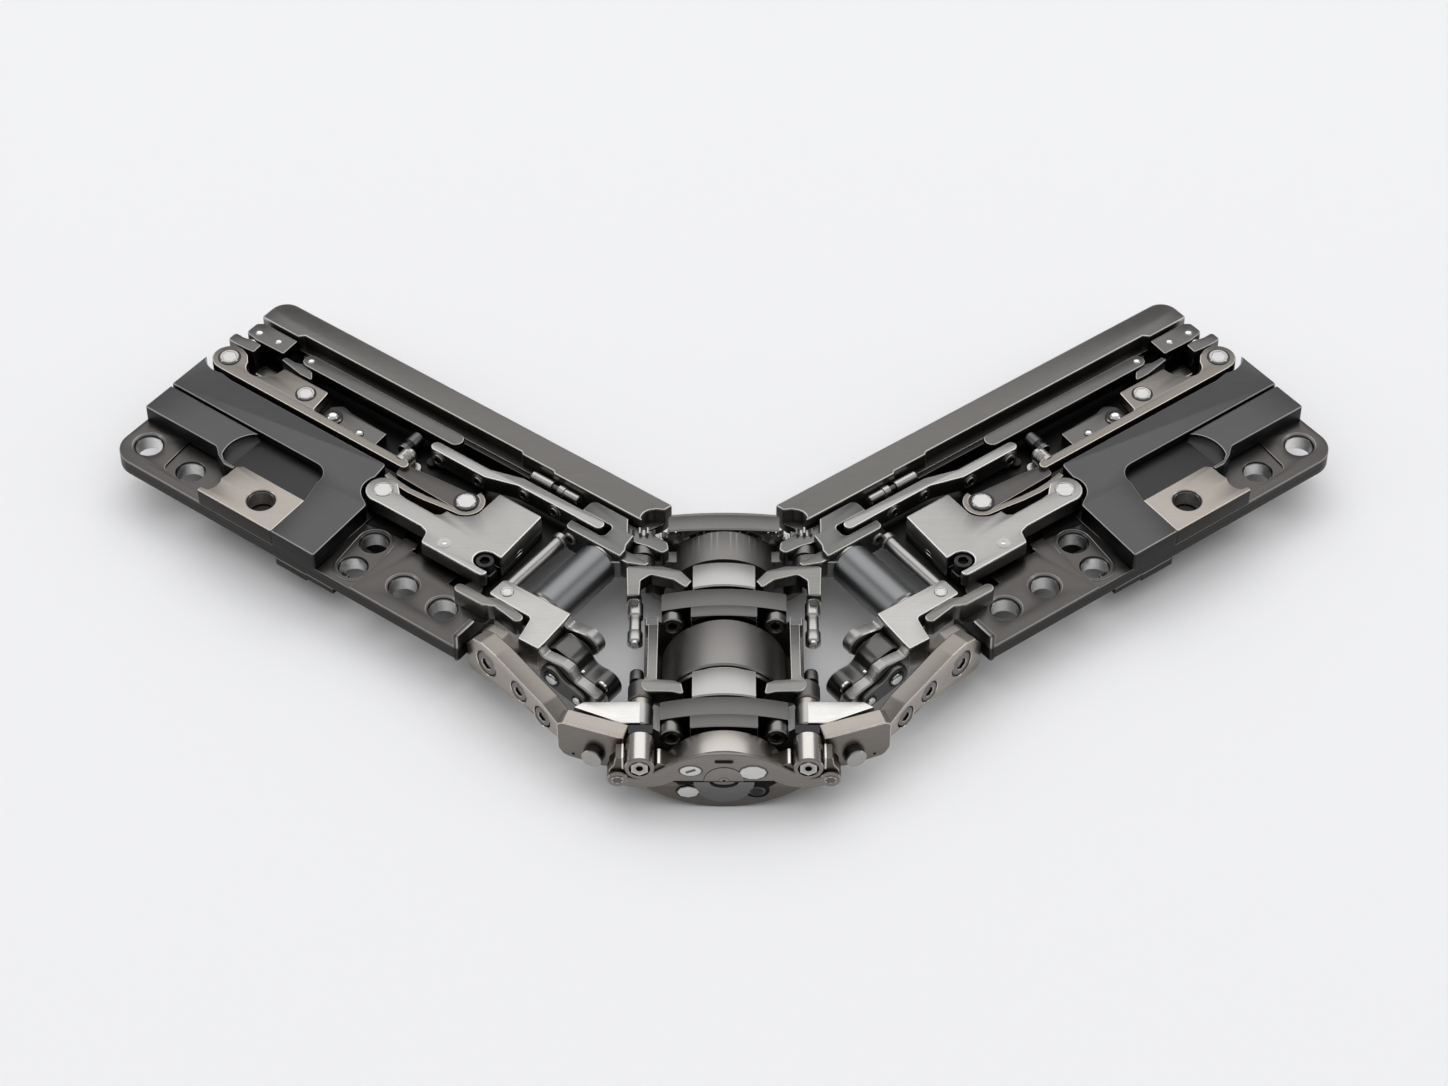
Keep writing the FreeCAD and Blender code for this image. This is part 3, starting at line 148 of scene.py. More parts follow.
def smooth(points, steps=6):
    """Open line through given points: between two of them it is a cubic whose slopes at both ends are half
    the way from the point before to the point after."""
    p = np.array(points, float)
    p = np.concatenate([2 * p[:1] - p[1:2], p, 2 * p[-1:] - p[-2:-1]])
    t = np.linspace(0, 1, steps, endpoint=False)[None, :, None]
    a, b, c, d = (p[i:len(p) - 3 + i, None, :] for i in range(4))
    line = 0.5 * (2 * b + (c - a) * t + (2 * a - 5 * b + 4 * c - d) * t ** 2 + (3 * b - a - 3 * c + d) * t ** 3)
    return np.concatenate([line.reshape(-1, 2), p[-2:-1]])


def inset(line, depth):
    """The closed line moved inwards: each corner goes along the mitre of its two sides."""
    along = np.roll(line, -1, 0) - line
    along = along / np.maximum(np.linalg.norm(along, axis=1, keepdims=True), 1e-9)
    inward = np.stack([-along[:, 1], along[:, 0]], 1)
    before = np.roll(inward, 1, 0)
    mitre = (inward + before) / np.maximum(1 + np.sum(inward * before, 1, keepdims=True), 0.3)
    return line + mitre * depth


def strips(rings, count):
    """Quads between rings of count points each, ring after ring."""
    i = np.repeat(np.arange(rings - 1), count)
    j = np.tile(np.arange(count), rings - 1)
    k = (j + 1) % count
    return np.stack([i * count + j, i * count + k, (i + 1) * count + k, (i + 1) * count + j], 1)


def rings_of(line, profile):
    """The line at each (inset, height) of a profile, as one array of corners."""
    return np.concatenate([np.column_stack([inset(line, d) if d else line, np.full(len(line), h)])
                           for d, h in profile])


def plate(line, low, high, metal, rim=None, edge=0.05, foot=0.0, holes=(), side=None, base_metal=None):
    """A flat piece: its outline is carried up a profile of foot, wall and rounded edge, and closed by flat
    faces. Each hole is (line, sink, depth or None): its own profile runs down from a countersink."""
    # The walls take the side finish and the bottom the base finish: where they are darker copies of the top's metal
    # they are painted shade, where lighter ones painted light, and a rim lighter than the piece is a painted highlight
    # along its bevels.
    rim = rim or metal
    side = side or metal
    low_ring = [(foot, low), (0, low + foot)] if foot else [(0, low)]
    profile = low_ring + [(0, high - edge), (edge * 0.3, high - edge * 0.3), (edge, high)]
    verts = [rings_of(line, profile)]
    count = len(line)
    faces = strips(len(profile), count).tolist()
    marks = []
    for i in range(len(profile) - 1):
        bevelled = profile[i][0] != profile[i + 1][0]
        marks += [rim if bevelled else side] * count
    total = len(profile) * count
    top = [(total - count, inset(line, edge))]
    bottom = [(0, inset(line, foot) if foot else line)]
    floors = []
    for hole, sink, depth in holes:
        base = low if depth is None else high - depth
        sink_depth = min(sink, (high - base) * 0.7)
        steps = [(0, base), (0, high - sink_depth), (-sink * 0.7, high - sink_depth * 0.25), (-sink, high)]
        verts.append(rings_of(hole, steps))
        n = len(hole)
        quads = strips(len(steps), n)[:, ::-1] + total
        faces += quads.tolist()
        marks += [metal] * n + [rim] * (2 * n)
        top.append((total + 3 * n, inset(hole, -sink)))
        if depth is None:
            bottom.append((total, hole))
        else:
            floors.append((total, hole, base))
        total += len(steps) * n
    for loops, up in ((top, True), (bottom, False)):
        lines = [[Vector((x, y, 0)) for x, y in loop] for _, loop in loops]
        index = np.concatenate([start + np.arange(len(loop)) for start, loop in loops])
        flat = np.concatenate([loop for _, loop in loops])
        for a, b, c in tessellate_polygon(lines):
            u, v = flat[b] - flat[a], flat[c] - flat[a]
            turn = (u[0] * v[1] - u[1] * v[0] > 0) == up
            faces.append([int(index[a]), int(index[b]), int(index[c])] if turn
                         else [int(index[a]), int(index[c]), int(index[b])])
            marks.append(metal if up else base_metal or side)
    for start, hole, base in floors:
        faces.append(list(range(start, start + len(hole))))
        marks.append(metal)
    return np.concatenate(verts), faces, marks


LOBES = {
    "round": lambda turn: np.ones_like(turn),
    "hex": lambda turn: 1 / np.cos((turn + math.pi / 6) % (math.pi / 3) - math.pi / 6),
    "star": lambda turn: 1 + 0.14 * np.cos(6 * turn),
}


def turned(centre, profile, sides=32):
    """A turned piece about an upright axis: each ring is (radius, height, finish, form). The radius of a
    hexagon or a star ring follows its angle. The last ring is closed flat, and so is the first."""
    turn = np.arange(sides) * 2 * math.pi / sides
    verts, marks = [], []
    for step in profile:
        radius = step[0] * LOBES[step[3] if len(step) > 3 else "round"](turn)
        verts.append(np.column_stack([centre[0] + radius * np.cos(turn), centre[1] + radius * np.sin(turn),
                                      np.full(sides, step[1])]))
    faces = strips(len(profile), sides).tolist()
    for step in profile[1:]:
        marks += [step[2]] * sides
    last = (len(profile) - 1) * sides
    faces += [list(range(last, last + sides)), list(range(sides))[::-1]]
    marks += [profile[-1][2], profile[0][2]]
    return np.concatenate(verts), faces, marks


def pipe(centre, profile, sides=40):
    """Closed ring about an upright axis: the profile's last ring joins its first one."""
    turn = np.arange(sides) * 2 * math.pi / sides
    verts = np.concatenate([np.column_stack([centre[0] + r * np.cos(turn), centre[1] + r * np.sin(turn),
                                             np.full(sides, z)]) for r, z, _ in profile])
    faces = strips(len(profile) + 1, sides)[:, ::-1] % len(verts)
    marks = []
    for step in profile[1:] + profile[:1]:
        marks += [step[2]] * sides
    return verts, faces.tolist(), marks


def hole_ring(centre, radius, low, top, width=0.16):
    """Machined ring in a screw hole: a bright wall, painted light that stands for the floor seen through the hole, a
    thin bright lip, a dark countersink and a bright edge, a painted highlight.
    """
    lip = radius + width * 0.2
    out = radius + width
    return pipe(centre, [(radius, low, "hole_wall_painted_light"), (radius, top - width, "hole_wall_painted_light"),
                         (lip, top - width * 0.75, "rivet_rim"), (lip + 0.01, top - width * 0.78, "black"),
                         (out - 0.02, top - width * 0.2, "black"), (out + 0.03, top + 0.005, "edge_bright"),
                         (out + 0.05, low, "plate_dark")])


def screw(centre, radius, low, top, metal, drive="hex", socket=0.5, depth=0.22, sides=36, dark="socket"):
    """Screw head: bevelled rim, flat face and a socket of the drive's form."""
    inner = radius * socket
    rim = radius * 0.14
    # The socket is painted near black: painted shade inside it.
    return turned(centre, [
        (radius, low, metal), (radius, top - rim, metal), (radius - rim * 0.3, top - rim * 0.3, metal),
        (radius - rim, top, metal), (inner * 1.12, top, metal), (inner, top - 0.03, metal, drive),
        (inner, top - depth, dark, drive), (inner * 0.5, top - depth * 1.15, dark)], sides)


def lying(centre, shape, flat=0.7):
    """A head whose face leans down: its height across the face is made smaller about its centre."""
    verts, faces, marks = shape
    verts = verts.copy()
    verts[:, 1] = centre[1] + (verts[:, 1] - centre[1]) * flat
    return verts, faces, marks


def rivet(centre, radius, low, top, metal="rivet", dimple=0.62):
    """Rivet head: a dark gap round it, painted black as shade, a bevelled rim and a flat middle inside a faint hexagon.
    """
    rim = radius * 0.1
    return turned(centre, [
        (radius * 1.14, low, "black"), (radius * 1.14, top - 0.075, "black"), (radius * 1.01, top - 0.072, "black"),
        (radius, top - rim, "steel"), (radius - rim, top, "rivet_rim"), (radius * dimple * 1.06, top, "rivet_rim", "hex"),
        (radius * dimple, top - 0.02, "edge_bright", "hex"), (radius * dimple * 0.9, top - 0.018, metal, "hex"),
        (radius * 0.2, top - 0.018, metal), (0.02, top - 0.018, metal)], 36)


def dome(centre, radius, low, top, metal="polished"):
    """Pin with a rounded end: the last quarter circle is squashed to its rise."""
    rise = min(radius * 0.55, (top - low) * 0.5)
    turn = np.radians([0, 22, 45, 68, 88])
    rings = [(radius * math.cos(t), top - rise + rise * math.sin(t), metal) for t in turn]
    return turned(centre, [(radius, low, metal)] + rings, 28)


def threaded(centre, radius, low, high, pitch, depth, metal, sides=48):
    """Threaded pin: on a grid of angle and height, the radius swings with height over pitch less angle."""
    rows = max(8, int((high - low) / pitch * 8))
    turn = np.arange(sides) * 2 * math.pi / sides
    height = np.linspace(low, high, rows)
    t, h = np.meshgrid(turn, height)
    fade = np.clip(np.minimum(h - low, high - h) / (pitch * 0.6), 0, 1)
    phase = (h / pitch - t / (2 * math.pi)) % 1
    r = radius - depth * fade * np.abs(2 * phase - 1)
    verts = np.stack([centre[0] + r * np.cos(t), centre[1] + r * np.sin(t), h], -1).reshape(-1, 3)
    faces = strips(rows, sides).tolist()
    last = (rows - 1) * sides
    faces += [list(range(last, last + sides)), list(range(sides))[::-1]]
    return verts, faces, [metal] * len(faces)


def quilt(first, second, high, low, base, metal, rim, steps=8):
    """Scooped surface between two open lines with as many points: at angle t of a quarter turn, the place has
    gone 1 - cos t of the way and the height has dropped by sin t. A flat base and upright sides close it."""
    t = np.linspace(0, math.pi / 2, steps + 1)[:, None]
    n = len(first)
    flat = first[None] + (second - first)[None] * (1 - np.cos(t))[..., None]
    z = high - (high - low) * np.sin(t) * np.ones((1, n))
    upper = np.concatenate([flat, z[..., None]], 2).reshape(-1, 3)
    lower = upper.copy()
    lower[:, 2] = base
    i, j = np.meshgrid(np.arange(steps), np.arange(n - 1), indexing="ij")
    quads = np.stack([i * n + j, (i + 1) * n + j, (i + 1) * n + j + 1, i * n + j + 1], -1).reshape(-1, 4)
    a, b, c = flat[0, 0], flat[-1, 0], flat[-1, -1]
    if (b[0] - a[0]) * (c[1] - a[1]) - (b[1] - a[1]) * (c[0] - a[0]) < 0:
        quads = quads[:, ::-1]
    total = len(upper)
    loop = np.concatenate([np.arange(n), np.arange(1, steps + 1) * n + n - 1, steps * n + np.arange(n - 2, -1, -1),
                           np.arange(steps - 1, 0, -1) * n])
    edge = np.stack([loop, np.roll(loop, -1)], 1)
    wall = np.stack([edge[:, 1], edge[:, 0], edge[:, 0] + total, edge[:, 1] + total], 1)
    ring = flat.reshape(-1, 2)[loop]
    area = np.sum(ring[:, 0] * np.roll(ring[:, 1], -1) - ring[:, 1] * np.roll(ring[:, 0], -1))
    if area < 0:
        wall = wall[:, ::-1]
    faces = quads.tolist() + (quads[:, ::-1] + total).tolist() + wall.tolist()
    return np.concatenate([upper, lower]), faces, [metal] * (2 * len(quads)) + [metal] * len(wall)


# Places: 3 x 4 matrices from a shape's own axes to the hinge.

def place(side, kind, depth=0.0):
    """wing and spine lie flat. The walls stand: their second axis is up and their third goes to the back."""
    a = math.radians(WING_ANGLE)
    b = math.radians(ARM_YAW)
    c, s = math.cos(a), math.sin(a)
    if kind == "wing":
        return np.array([[side * c, -side * s, 0, 0], [s, c, 0, FRONT_Y], [0, 0, 1, 0]])
    if kind == "wing_wall":
        return np.array([[side * c, 0, -side * s, 0], [s, 0, c, FRONT_Y], [0, 1, 0, 0]])
    if kind == "wing_end":
        return np.array([[-side * s, 0, side * c, 0], [c, 0, s, FRONT_Y], [0, 1, 0, 0]])
    if kind == "spine":
        return np.array([[side, 0, 0, 0], [0, 1, 0, FRONT_Y], [0, 0, 1, 0]])
    if kind == "spine_wall":
        return np.array([[side, 0, 0, 0], [0, 0, 1, FRONT_Y], [0, 1, 0, 0]])
    c, s = math.cos(b), math.sin(b)
    return np.array([[side * c, 0, -side * s, side * ARM_FOOT[0]], [s, 0, c, ARM_FOOT[1] + FRONT_Y], [0, 1, 0, 0]])


def facing_front(shape):
    """A shape made along its third axis, turned to look the other way along it."""
    verts, faces, marks = shape
    verts = verts.copy()
    verts[:, 2] *= -1
    return verts, [list(f)[::-1] for f in faces], marks


def toe_place(side):
    """Standing wall along the toe: the first axis runs outward and back, the third one to the back."""
    a = math.radians(18.3)
    c, s = math.cos(a), math.sin(a)
    return np.array([[side * c, 0, -side * s, side * 5.63], [s, 0, c, 1.65 + FRONT_Y], [0, 1, 0, 0]])


# Finishes

def grain_nodes(tree, turn):
    """Brushing lines along the piece, and soft patches: two noises on Object coordinates."""
    nodes, links = tree.nodes, tree.links
    place_at = nodes.new("ShaderNodeTexCoord")
    mapping = nodes.new("ShaderNodeMapping")
    mapping.inputs["Rotation"].default_value = (0, 0, math.radians(-turn))
    mapping.inputs["Scale"].default_value = (420, 11000, 11000)
    links.new(place_at.outputs["Object"], mapping.inputs["Vector"])
    lines = nodes.new("ShaderNodeTexNoise")
    lines.inputs["Scale"].default_value = 1.0
    lines.inputs["Detail"].default_value = 3.0
    links.new(mapping.outputs["Vector"], lines.inputs["Vector"])
    patches = nodes.new("ShaderNodeTexNoise")
    patches.inputs["Scale"].default_value = 900.0
    patches.inputs["Detail"].default_value = 5.0
    links.new(place_at.outputs["Object"], patches.inputs["Vector"])
    return lines, patches


def metal(name, colour, rough, turn=0.0, brush=0.05, swing=0.09, metallic=1.0, bump=0.25):
    """Machined metal: brushing changes roughness and height, and patches change the tone a little."""
    key = name + "_" + str(int(turn)).replace("-", "m")
    if key in bpy.data.materials:
        return bpy.data.materials[key]
    mat = bpy.data.materials.new(key)
    mat.use_nodes = True
    tree = mat.node_tree
    nodes, links = tree.nodes, tree.links
    shader = nodes["Principled BSDF"]
    shader.inputs["Metallic"].default_value = metallic
    lines, patches = grain_nodes(tree, turn)
    tone = nodes.new("ShaderNodeValToRGB")
    tone.color_ramp.elements[0].position = 0.3
    tone.color_ramp.elements[1].position = 0.7
    tone.color_ramp.elements[0].color = [c * (1 - swing) for c in colour] + [1]
    tone.color_ramp.elements[1].color = [min(1, c * (1 + swing)) for c in colour] + [1]
    mix = nodes.new("ShaderNodeMath")
    mix.operation = "MULTIPLY_ADD"
    mix.inputs[1].default_value = 0.5
    half = nodes.new("ShaderNodeMath")
    half.operation = "MULTIPLY"
    half.inputs[1].default_value = 0.5
    links.new(patches.outputs["Fac"], half.inputs[0])
    links.new(lines.outputs["Fac"], mix.inputs[0])
    links.new(half.outputs[0], mix.inputs[2])
    links.new(mix.outputs[0], tone.inputs["Fac"])
    links.new(tone.outputs["Color"], shader.inputs["Base Color"])
    gloss = nodes.new("ShaderNodeMapRange")
    gloss.inputs["From Min"].default_value = 0.25
    gloss.inputs["From Max"].default_value = 0.75
    gloss.inputs["To Min"].default_value = max(0.03, rough - brush)
    gloss.inputs["To Max"].default_value = rough + brush
    links.new(mix.outputs[0], gloss.inputs["Value"])
    links.new(gloss.outputs["Result"], shader.inputs["Roughness"])
    if bump:
        height = nodes.new("ShaderNodeBump")
        height.inputs["Strength"].default_value = bump
        height.inputs["Distance"].default_value = 0.000004
        links.new(lines.outputs["Fac"], height.inputs["Height"])
        links.new(height.outputs["Normal"], shader.inputs["Normal"])
    return mat


FINISHES = {
    "steel": dict(colour=(0.4, 0.392, 0.38), rough=0.3, brush=0.05),
    "bright": dict(colour=(0.62, 0.61, 0.59), rough=0.26, brush=0.04),
    "polished": dict(colour=(0.8, 0.8, 0.79), rough=0.18, brush=0.04),
    "graphite": dict(colour=(0.22, 0.211, 0.203), rough=0.42, brush=0.012, swing=0.03, bump=0.0),
    "gunmetal": dict(colour=(0.13, 0.127, 0.124), rough=0.34, brush=0.05),
    "charcoal": dict(colour=(0.102, 0.102, 0.104), rough=0.44, brush=0.05),
    "plate_dark": dict(colour=(0.098, 0.092, 0.088), rough=0.36, brush=0.05),
    # Near black for floors and hollows deep between parts: painted shade.
    "cavity": dict(colour=(0.03, 0.029, 0.028), rough=0.45, brush=0.05),
    # A light grey for the bevels of darker pieces and for thin rings: painted highlights.
    "edge_bright": dict(colour=(0.4, 0.39, 0.375), rough=0.3, brush=0.04),
    "bronze": dict(colour=(0.4, 0.365, 0.33), rough=0.3, brush=0.05),
    "lever_bronze": dict(colour=(0.215, 0.198, 0.178), rough=0.34, brush=0.05),
    # A light bronze for the bevels of darker bronze pieces: painted highlights.
    "bronze_edge_painted_highlight": dict(colour=(0.60, 0.55, 0.50), rough=0.26, brush=0.04),
    # Black is also painted into gaps round heads and pins, onto walls and onto the front faces of collars and drums:
    # painted shade there.
    "black": dict(colour=(0.04, 0.04, 0.041), rough=0.34, brush=0.04),
    # Near black inside sockets, slots, small holes and recesses: painted shade.
    "socket": dict(colour=(0.012, 0.012, 0.012), rough=0.5, brush=0.03),
    "rear_silver": dict(colour=(0.15, 0.149, 0.146), rough=0.32, brush=0.05),
    # A light grey for the bevels of dark pieces and a thin line on the lever: painted highlights.
    "edge_dark": dict(colour=(0.3, 0.292, 0.282), rough=0.3, brush=0.04),
    # Darker than the cover, for its pocket: painted shade in the recess.
    "pocket_painted_shade": dict(colour=(0.05, 0.049, 0.049), rough=0.42, brush=0.05),
    "pad_bronze": dict(colour=(0.34, 0.31, 0.28), rough=0.34, brush=0.05),
    "cap_bronze": dict(colour=(0.24, 0.224, 0.21), rough=0.34, brush=0.05),
    "shell_bronze": dict(colour=(0.15, 0.138, 0.128), rough=0.36, brush=0.05),
    "bracket_steel": dict(colour=(0.34, 0.334, 0.323), rough=0.32, brush=0.05),
    "rivet": dict(colour=(0.5, 0.495, 0.485), rough=0.28, brush=0.05),
    # Very light wall for screw holes: painted light that stands for the floor seen through them.
    "hole_wall_painted_light": dict(colour=(0.85, 0.845, 0.83), rough=0.3, brush=0.05),
    "rail_dark": dict(colour=(0.14, 0.134, 0.128), rough=0.36, brush=0.05),
    # A lighter copy of the rail's finish for its walls: painted light.
    "rail_side_painted_light": dict(colour=(0.2, 0.19, 0.18), rough=0.36, brush=0.05),
    # A darker copy of the arm's bronze for its walls, also on the spacer: painted shade.
    "arm_side_painted_shade": dict(colour=(0.25, 0.23, 0.208), rough=0.34, brush=0.05),
    "toe_bronze": dict(colour=(0.2, 0.184, 0.168), rough=0.34, brush=0.05),
    # A lighter copy of the toe's bronze for its walls: painted light.
    "toe_top_painted_light": dict(colour=(0.34, 0.31, 0.28), rough=0.3, brush=0.05),
    "link_silver": dict(colour=(0.22, 0.213, 0.204), rough=0.3, brush=0.05),
    # A darker copy of the bracket silver for walls and for the low bar under the hook: painted shade.
    "link_side_painted_shade": dict(colour=(0.07, 0.068, 0.065), rough=0.4, brush=0.05),
    "rod_steel": dict(colour=(0.38, 0.374, 0.364), rough=0.32, brush=0.012, swing=0.03, bump=0.0),
    "barrel_blue": dict(colour=(0.23, 0.234, 0.24), rough=0.36, brush=0.012, swing=0.03, bump=0.0),
    "face_steel": dict(colour=(0.19, 0.186, 0.182), rough=0.36, brush=0.05),
    "collar_dark": dict(colour=(0.14, 0.135, 0.13), rough=0.34, brush=0.012, swing=0.03, bump=0.0),
    "saddle_steel": dict(colour=(0.42, 0.41, 0.398), rough=0.3, brush=0.012, swing=0.03, bump=0.0),
    # Darker copies for walls, for faces turned from the light and for the housing under the plate: painted shade. Of
    # these, the steel copy is a slightly lighter one for the front block's walls, painted light, and the grey one
    # darkens the upper arm's walls and is also the lower arm's own colour.
    "plate_side_painted_shade": dict(colour=(0.04, 0.038, 0.036), rough=0.36, brush=0.05),
    "cover_side_painted_shade": dict(colour=(0.034, 0.034, 0.035), rough=0.4, brush=0.05),
    "rear_side_painted_shade": dict(colour=(0.1, 0.098, 0.095), rough=0.36, brush=0.05),
    "steel_side": dict(colour=(0.42, 0.4, 0.38), rough=0.32, brush=0.05),
    "bracket_side_painted_shade": dict(colour=(0.16, 0.155, 0.147), rough=0.36, brush=0.05),
    "cap_side_painted_shade": dict(colour=(0.12, 0.105, 0.09), rough=0.34, brush=0.05),
    "arm_grey": dict(colour=(0.2, 0.192, 0.182), rough=0.34, brush=0.05),
    "drum_dark": dict(colour=(0.26, 0.249, 0.241), rough=0.4, brush=0.012, swing=0.03, bump=0.0),
    "rivet_rim": dict(colour=(0.4, 0.392, 0.38), rough=0.26, brush=0.05),
    "bolt_face": dict(colour=(0.66, 0.655, 0.645), rough=0.3, brush=0.05),
    "bridge_dark": dict(colour=(0.17, 0.163, 0.157), rough=0.34, brush=0.03),
    "cap_drum": dict(colour=(0.46, 0.432, 0.4), rough=0.28, brush=0.012, swing=0.03, bump=0.0),
    # Lighter than the cap's bronze and its darker copy, for their bevels: painted highlights there.
    "cap_rim": dict(colour=(0.38, 0.35, 0.32), rough=0.3, brush=0.05),
    "steel_front": dict(colour=(0.2, 0.194, 0.186), rough=0.32, brush=0.05),
    "prong_top": dict(colour=(0.34, 0.332, 0.32), rough=0.32, brush=0.012, swing=0.03, bump=0.0),
    "link_face": dict(colour=(0.07, 0.068, 0.066), rough=0.3, brush=0.05),
    "link_round": dict(colour=(0.11, 0.108, 0.105), rough=0.26, brush=0.012, swing=0.03, bump=0.0),
    "link_top": dict(colour=(0.42, 0.412, 0.4), rough=0.24, brush=0.012, swing=0.03, bump=0.0),
    "link_front": dict(colour=(0.2, 0.194, 0.186), rough=0.3, brush=0.05),
    # A light grey for the bevels of darker pieces and for rings: painted highlights.
    "edge_mid": dict(colour=(0.42, 0.41, 0.395), rough=0.26, brush=0.05),
    "bush_steel": dict(colour=(0.56, 0.54, 0.515), rough=0.22, brush=0.012, swing=0.03, bump=0.0),
}


def piece(name, body, shapes, node=None, turn=0.0):
    """One object from (place, shape) pairs: places are applied, and a mirrored place turns its faces over."""
    verts, faces, marks, used = [], [], [], []
    total = 0
    for matrix, (points, polys, finishes) in shapes:
        verts.append(points @ matrix[:, :3].T + matrix[:, 3])
        flip = np.linalg.det(matrix[:, :3]) < 0
        faces += [[i + total for i in (reversed(f) if flip else f)] for f in polys]
        marks += finishes
        total += len(points)
    for finish in marks:
        if finish not in used:
            used.append(finish)
    mesh = bpy.data.meshes.new(name)
    mesh.from_pydata((np.concatenate(verts) * MM).tolist(), [], faces)
    for finish in used:
        mesh.materials.append(metal(finish, turn=turn, **FINISHES[finish]))
    lookup = {finish: i for i, finish in enumerate(used)}
    mesh.polygons.foreach_set("material_index", [lookup[f] for f in marks])
    mesh.polygons.foreach_set("use_smooth", [True] * len(faces))
    mesh.set_sharp_from_angle(angle=math.radians(28))
    mesh.update()
    obj = bpy.data.objects.new(name, mesh)
    bpy.context.scene.collection.objects.link(obj)
    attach(obj, body)
    if node:
        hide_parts(node)
    return obj


# Wing

def base_plate():
    """Floor, screw shelf in layers, so that its recesses show, and a ring in each screw hole."""
    wide = {k: circle(HOLES[k], HOLE_R + 0.1) for k in HOLES}
    floor = outline([(17.75, WING_NEAR), (WING_END, WING_NEAR, 1.6), (WING_END, 9.5, 0.5), (44.6, 10.3, 0.3),
                     (44.6, 13.86, 1.1), (15.4, 13.86, 0.3), (15.4, 11.9), (19.1, 11.9), (19.1, 1.5), (17.75, 1.5)], 8)
    # The floor's top and walls are painted near black: painted shade under the parts above it.
    shapes = [plate(floor, PLATE_LOW, FLOOR_TOP, "cavity", "plate_dark", 0.05, 0.12,
                    [(wide[k], 0.01, None) for k in HOLES], side="plate_side_painted_shade")]
    shelf = outline([(17.75, WING_NEAR), (WING_END, WING_NEAR, 1.6), (WING_END, 5.6), (27.2, 5.6),
                     (26.1, 3.35, 0.1), (25.0, 3.35, 0.15), (24.9, 2.75), (21.5, 2.65), (21.5, 1.9), (19.1, 1.9),
                     (19.1, 1.5), (17.75, 1.5)], 10)
    shapes.append(plate(shelf, FLOOR_TOP - 0.06, PLATE_TOP - STEP, "plate_dark", "edge_dark", 0.02, 0,
                        [(wide[k], 0.02, None) for k in HOLES], side="plate_side_painted_shade"))
    inner = outline([(17.75, WING_NEAR), (25.9, WING_NEAR), (25.95, 3.35, 0.1), (25.0, 3.35, 0.15), (24.9, 2.95, 0.1),
                     arc((24.72, 2.78), 0.2, 60, -140, 6), (24.4, 2.7, 0.05), (21.5, 2.65), (21.5, 1.9),
                     (19.1, 1.9), (19.1, 1.5), (17.75, 1.5)])
    shapes.append(plate(inner, PLATE_TOP - STEP, PLATE_TOP, "plate_dark", "edge_dark", 0.04, 0,
                        [(wide[k], 0.14, None) for k in ("third", "inner")]))
    outer = outline([(37.3, WING_NEAR), (WING_END, WING_NEAR, 1.6), (WING_END, 2.0), (41.65, 2.0), (41.35, -0.95, 0.5),
                     (39.4, -1.15, 0.3), (37.3, -1.15)], 10)
    shapes.append(plate(outer, PLATE_TOP - STEP, PLATE_TOP, "plate_dark", "edge_dark", 0.04, 0,
                        [(wide["corner"], 0.14, None)]))
    under = outline([(28.6, WING_NEAR), (37.3, WING_NEAR), (37.3, 5.0), (28.6, 5.0)])
    shapes.append(plate(under, PLATE_TOP - STEP, PLATE_TOP, "plate_dark", "edge_dark", 0.02))
    stadium = capsule(HOLES["slot_near"], HOLES["slot_far"], 1.05)
    ring = capsule(HOLES["slot_near"], HOLES["slot_far"], 1.2)
    shapes.append(plate(ring, PLATE_TOP - STEP - 0.01, PLATE_TOP - STEP + 0.04, "plate_dark", "edge_dark", 0.03, 0,
                        [(stadium, 0.04, None)]))
    for k in HOLES:
        deep = 0.05 if k in ("corner", "third", "inner") else STEP + 0.01
        shapes.append(hole_ring(HOLES[k], HOLE_R, PLATE_LOW, PLATE_TOP - deep))
    return shapes


def base_walls():
    """Standing parts of the base plate: lip at the inner end, as a wall along the wing."""
    lip = outline([(WING_NEAR, 2.2), (0.8, 2.2), (0.8, 3.3), (-0.2, 4.24, 0.05), (WING_NEAR, 4.24, 0.15)])
    return [plate(lip, 17.75, 18.1, "plate_dark", "edge_bright", 0.07, 0.07)]


def housing():
    """Skirt under the near edge, shallow housing below the floor, and bosses above it."""
    box = outline([(23.5, 3.4, 1.0), (39.5, 3.4, 1.0), (39.5, 11.2, 1.0), (23.5, 11.2, 1.0)])
    skirt = outline([(29.3, WING_NEAR, 0.15), (31.8, WING_NEAR, 0.15), (31.8, -0.3), (29.3, -0.3)])
    ledge = outline([(27.3, -1.75), (29.35, -1.75), (29.35, -0.3), (27.3, -0.3)])
    # The housing, skirt and ledge are painted near black, and the bosses nearer still: painted shade under the plate.
    shapes = [plate(box, 0, PLATE_LOW, "plate_side_painted_shade", foot=0.25),
              plate(skirt, 1.6, PLATE_LOW + 0.05, "plate_side_painted_shade", "edge_dark", foot=0.12),
              plate(ledge, 1.75, PLATE_LOW + 0.05, "plate_side_painted_shade", "edge_dark", foot=0.08)]
    for at, radius, top in [(RING_A, 0.85, LEVER_LOW), (SCREW_S, 0.8, LEVER_LOW), (RING_B, 0.85, BRACKET_LOW),
                            (PIN_C, 0.8, 3.55), ((43.83, 10.66), 0.5, LEVER_LOW), ((42.32, 10.7), 0.5, LEVER_LOW),
                            (BAR_PIN, 0.45, LEVER_LOW), ((28.4, 10.62), 0.45, LEVER_LOW), ((28.7, 9.1), 0.36, 3.45),
                            ((40.0, 9.65), 0.28, LEVER_LOW), ((43.9, 9.35), 0.35, 3.5)]:
        shapes.append(turned(at, [(radius, PLATE_LOW, "cavity"), (radius, top, "cavity")], 24))
    return shapes


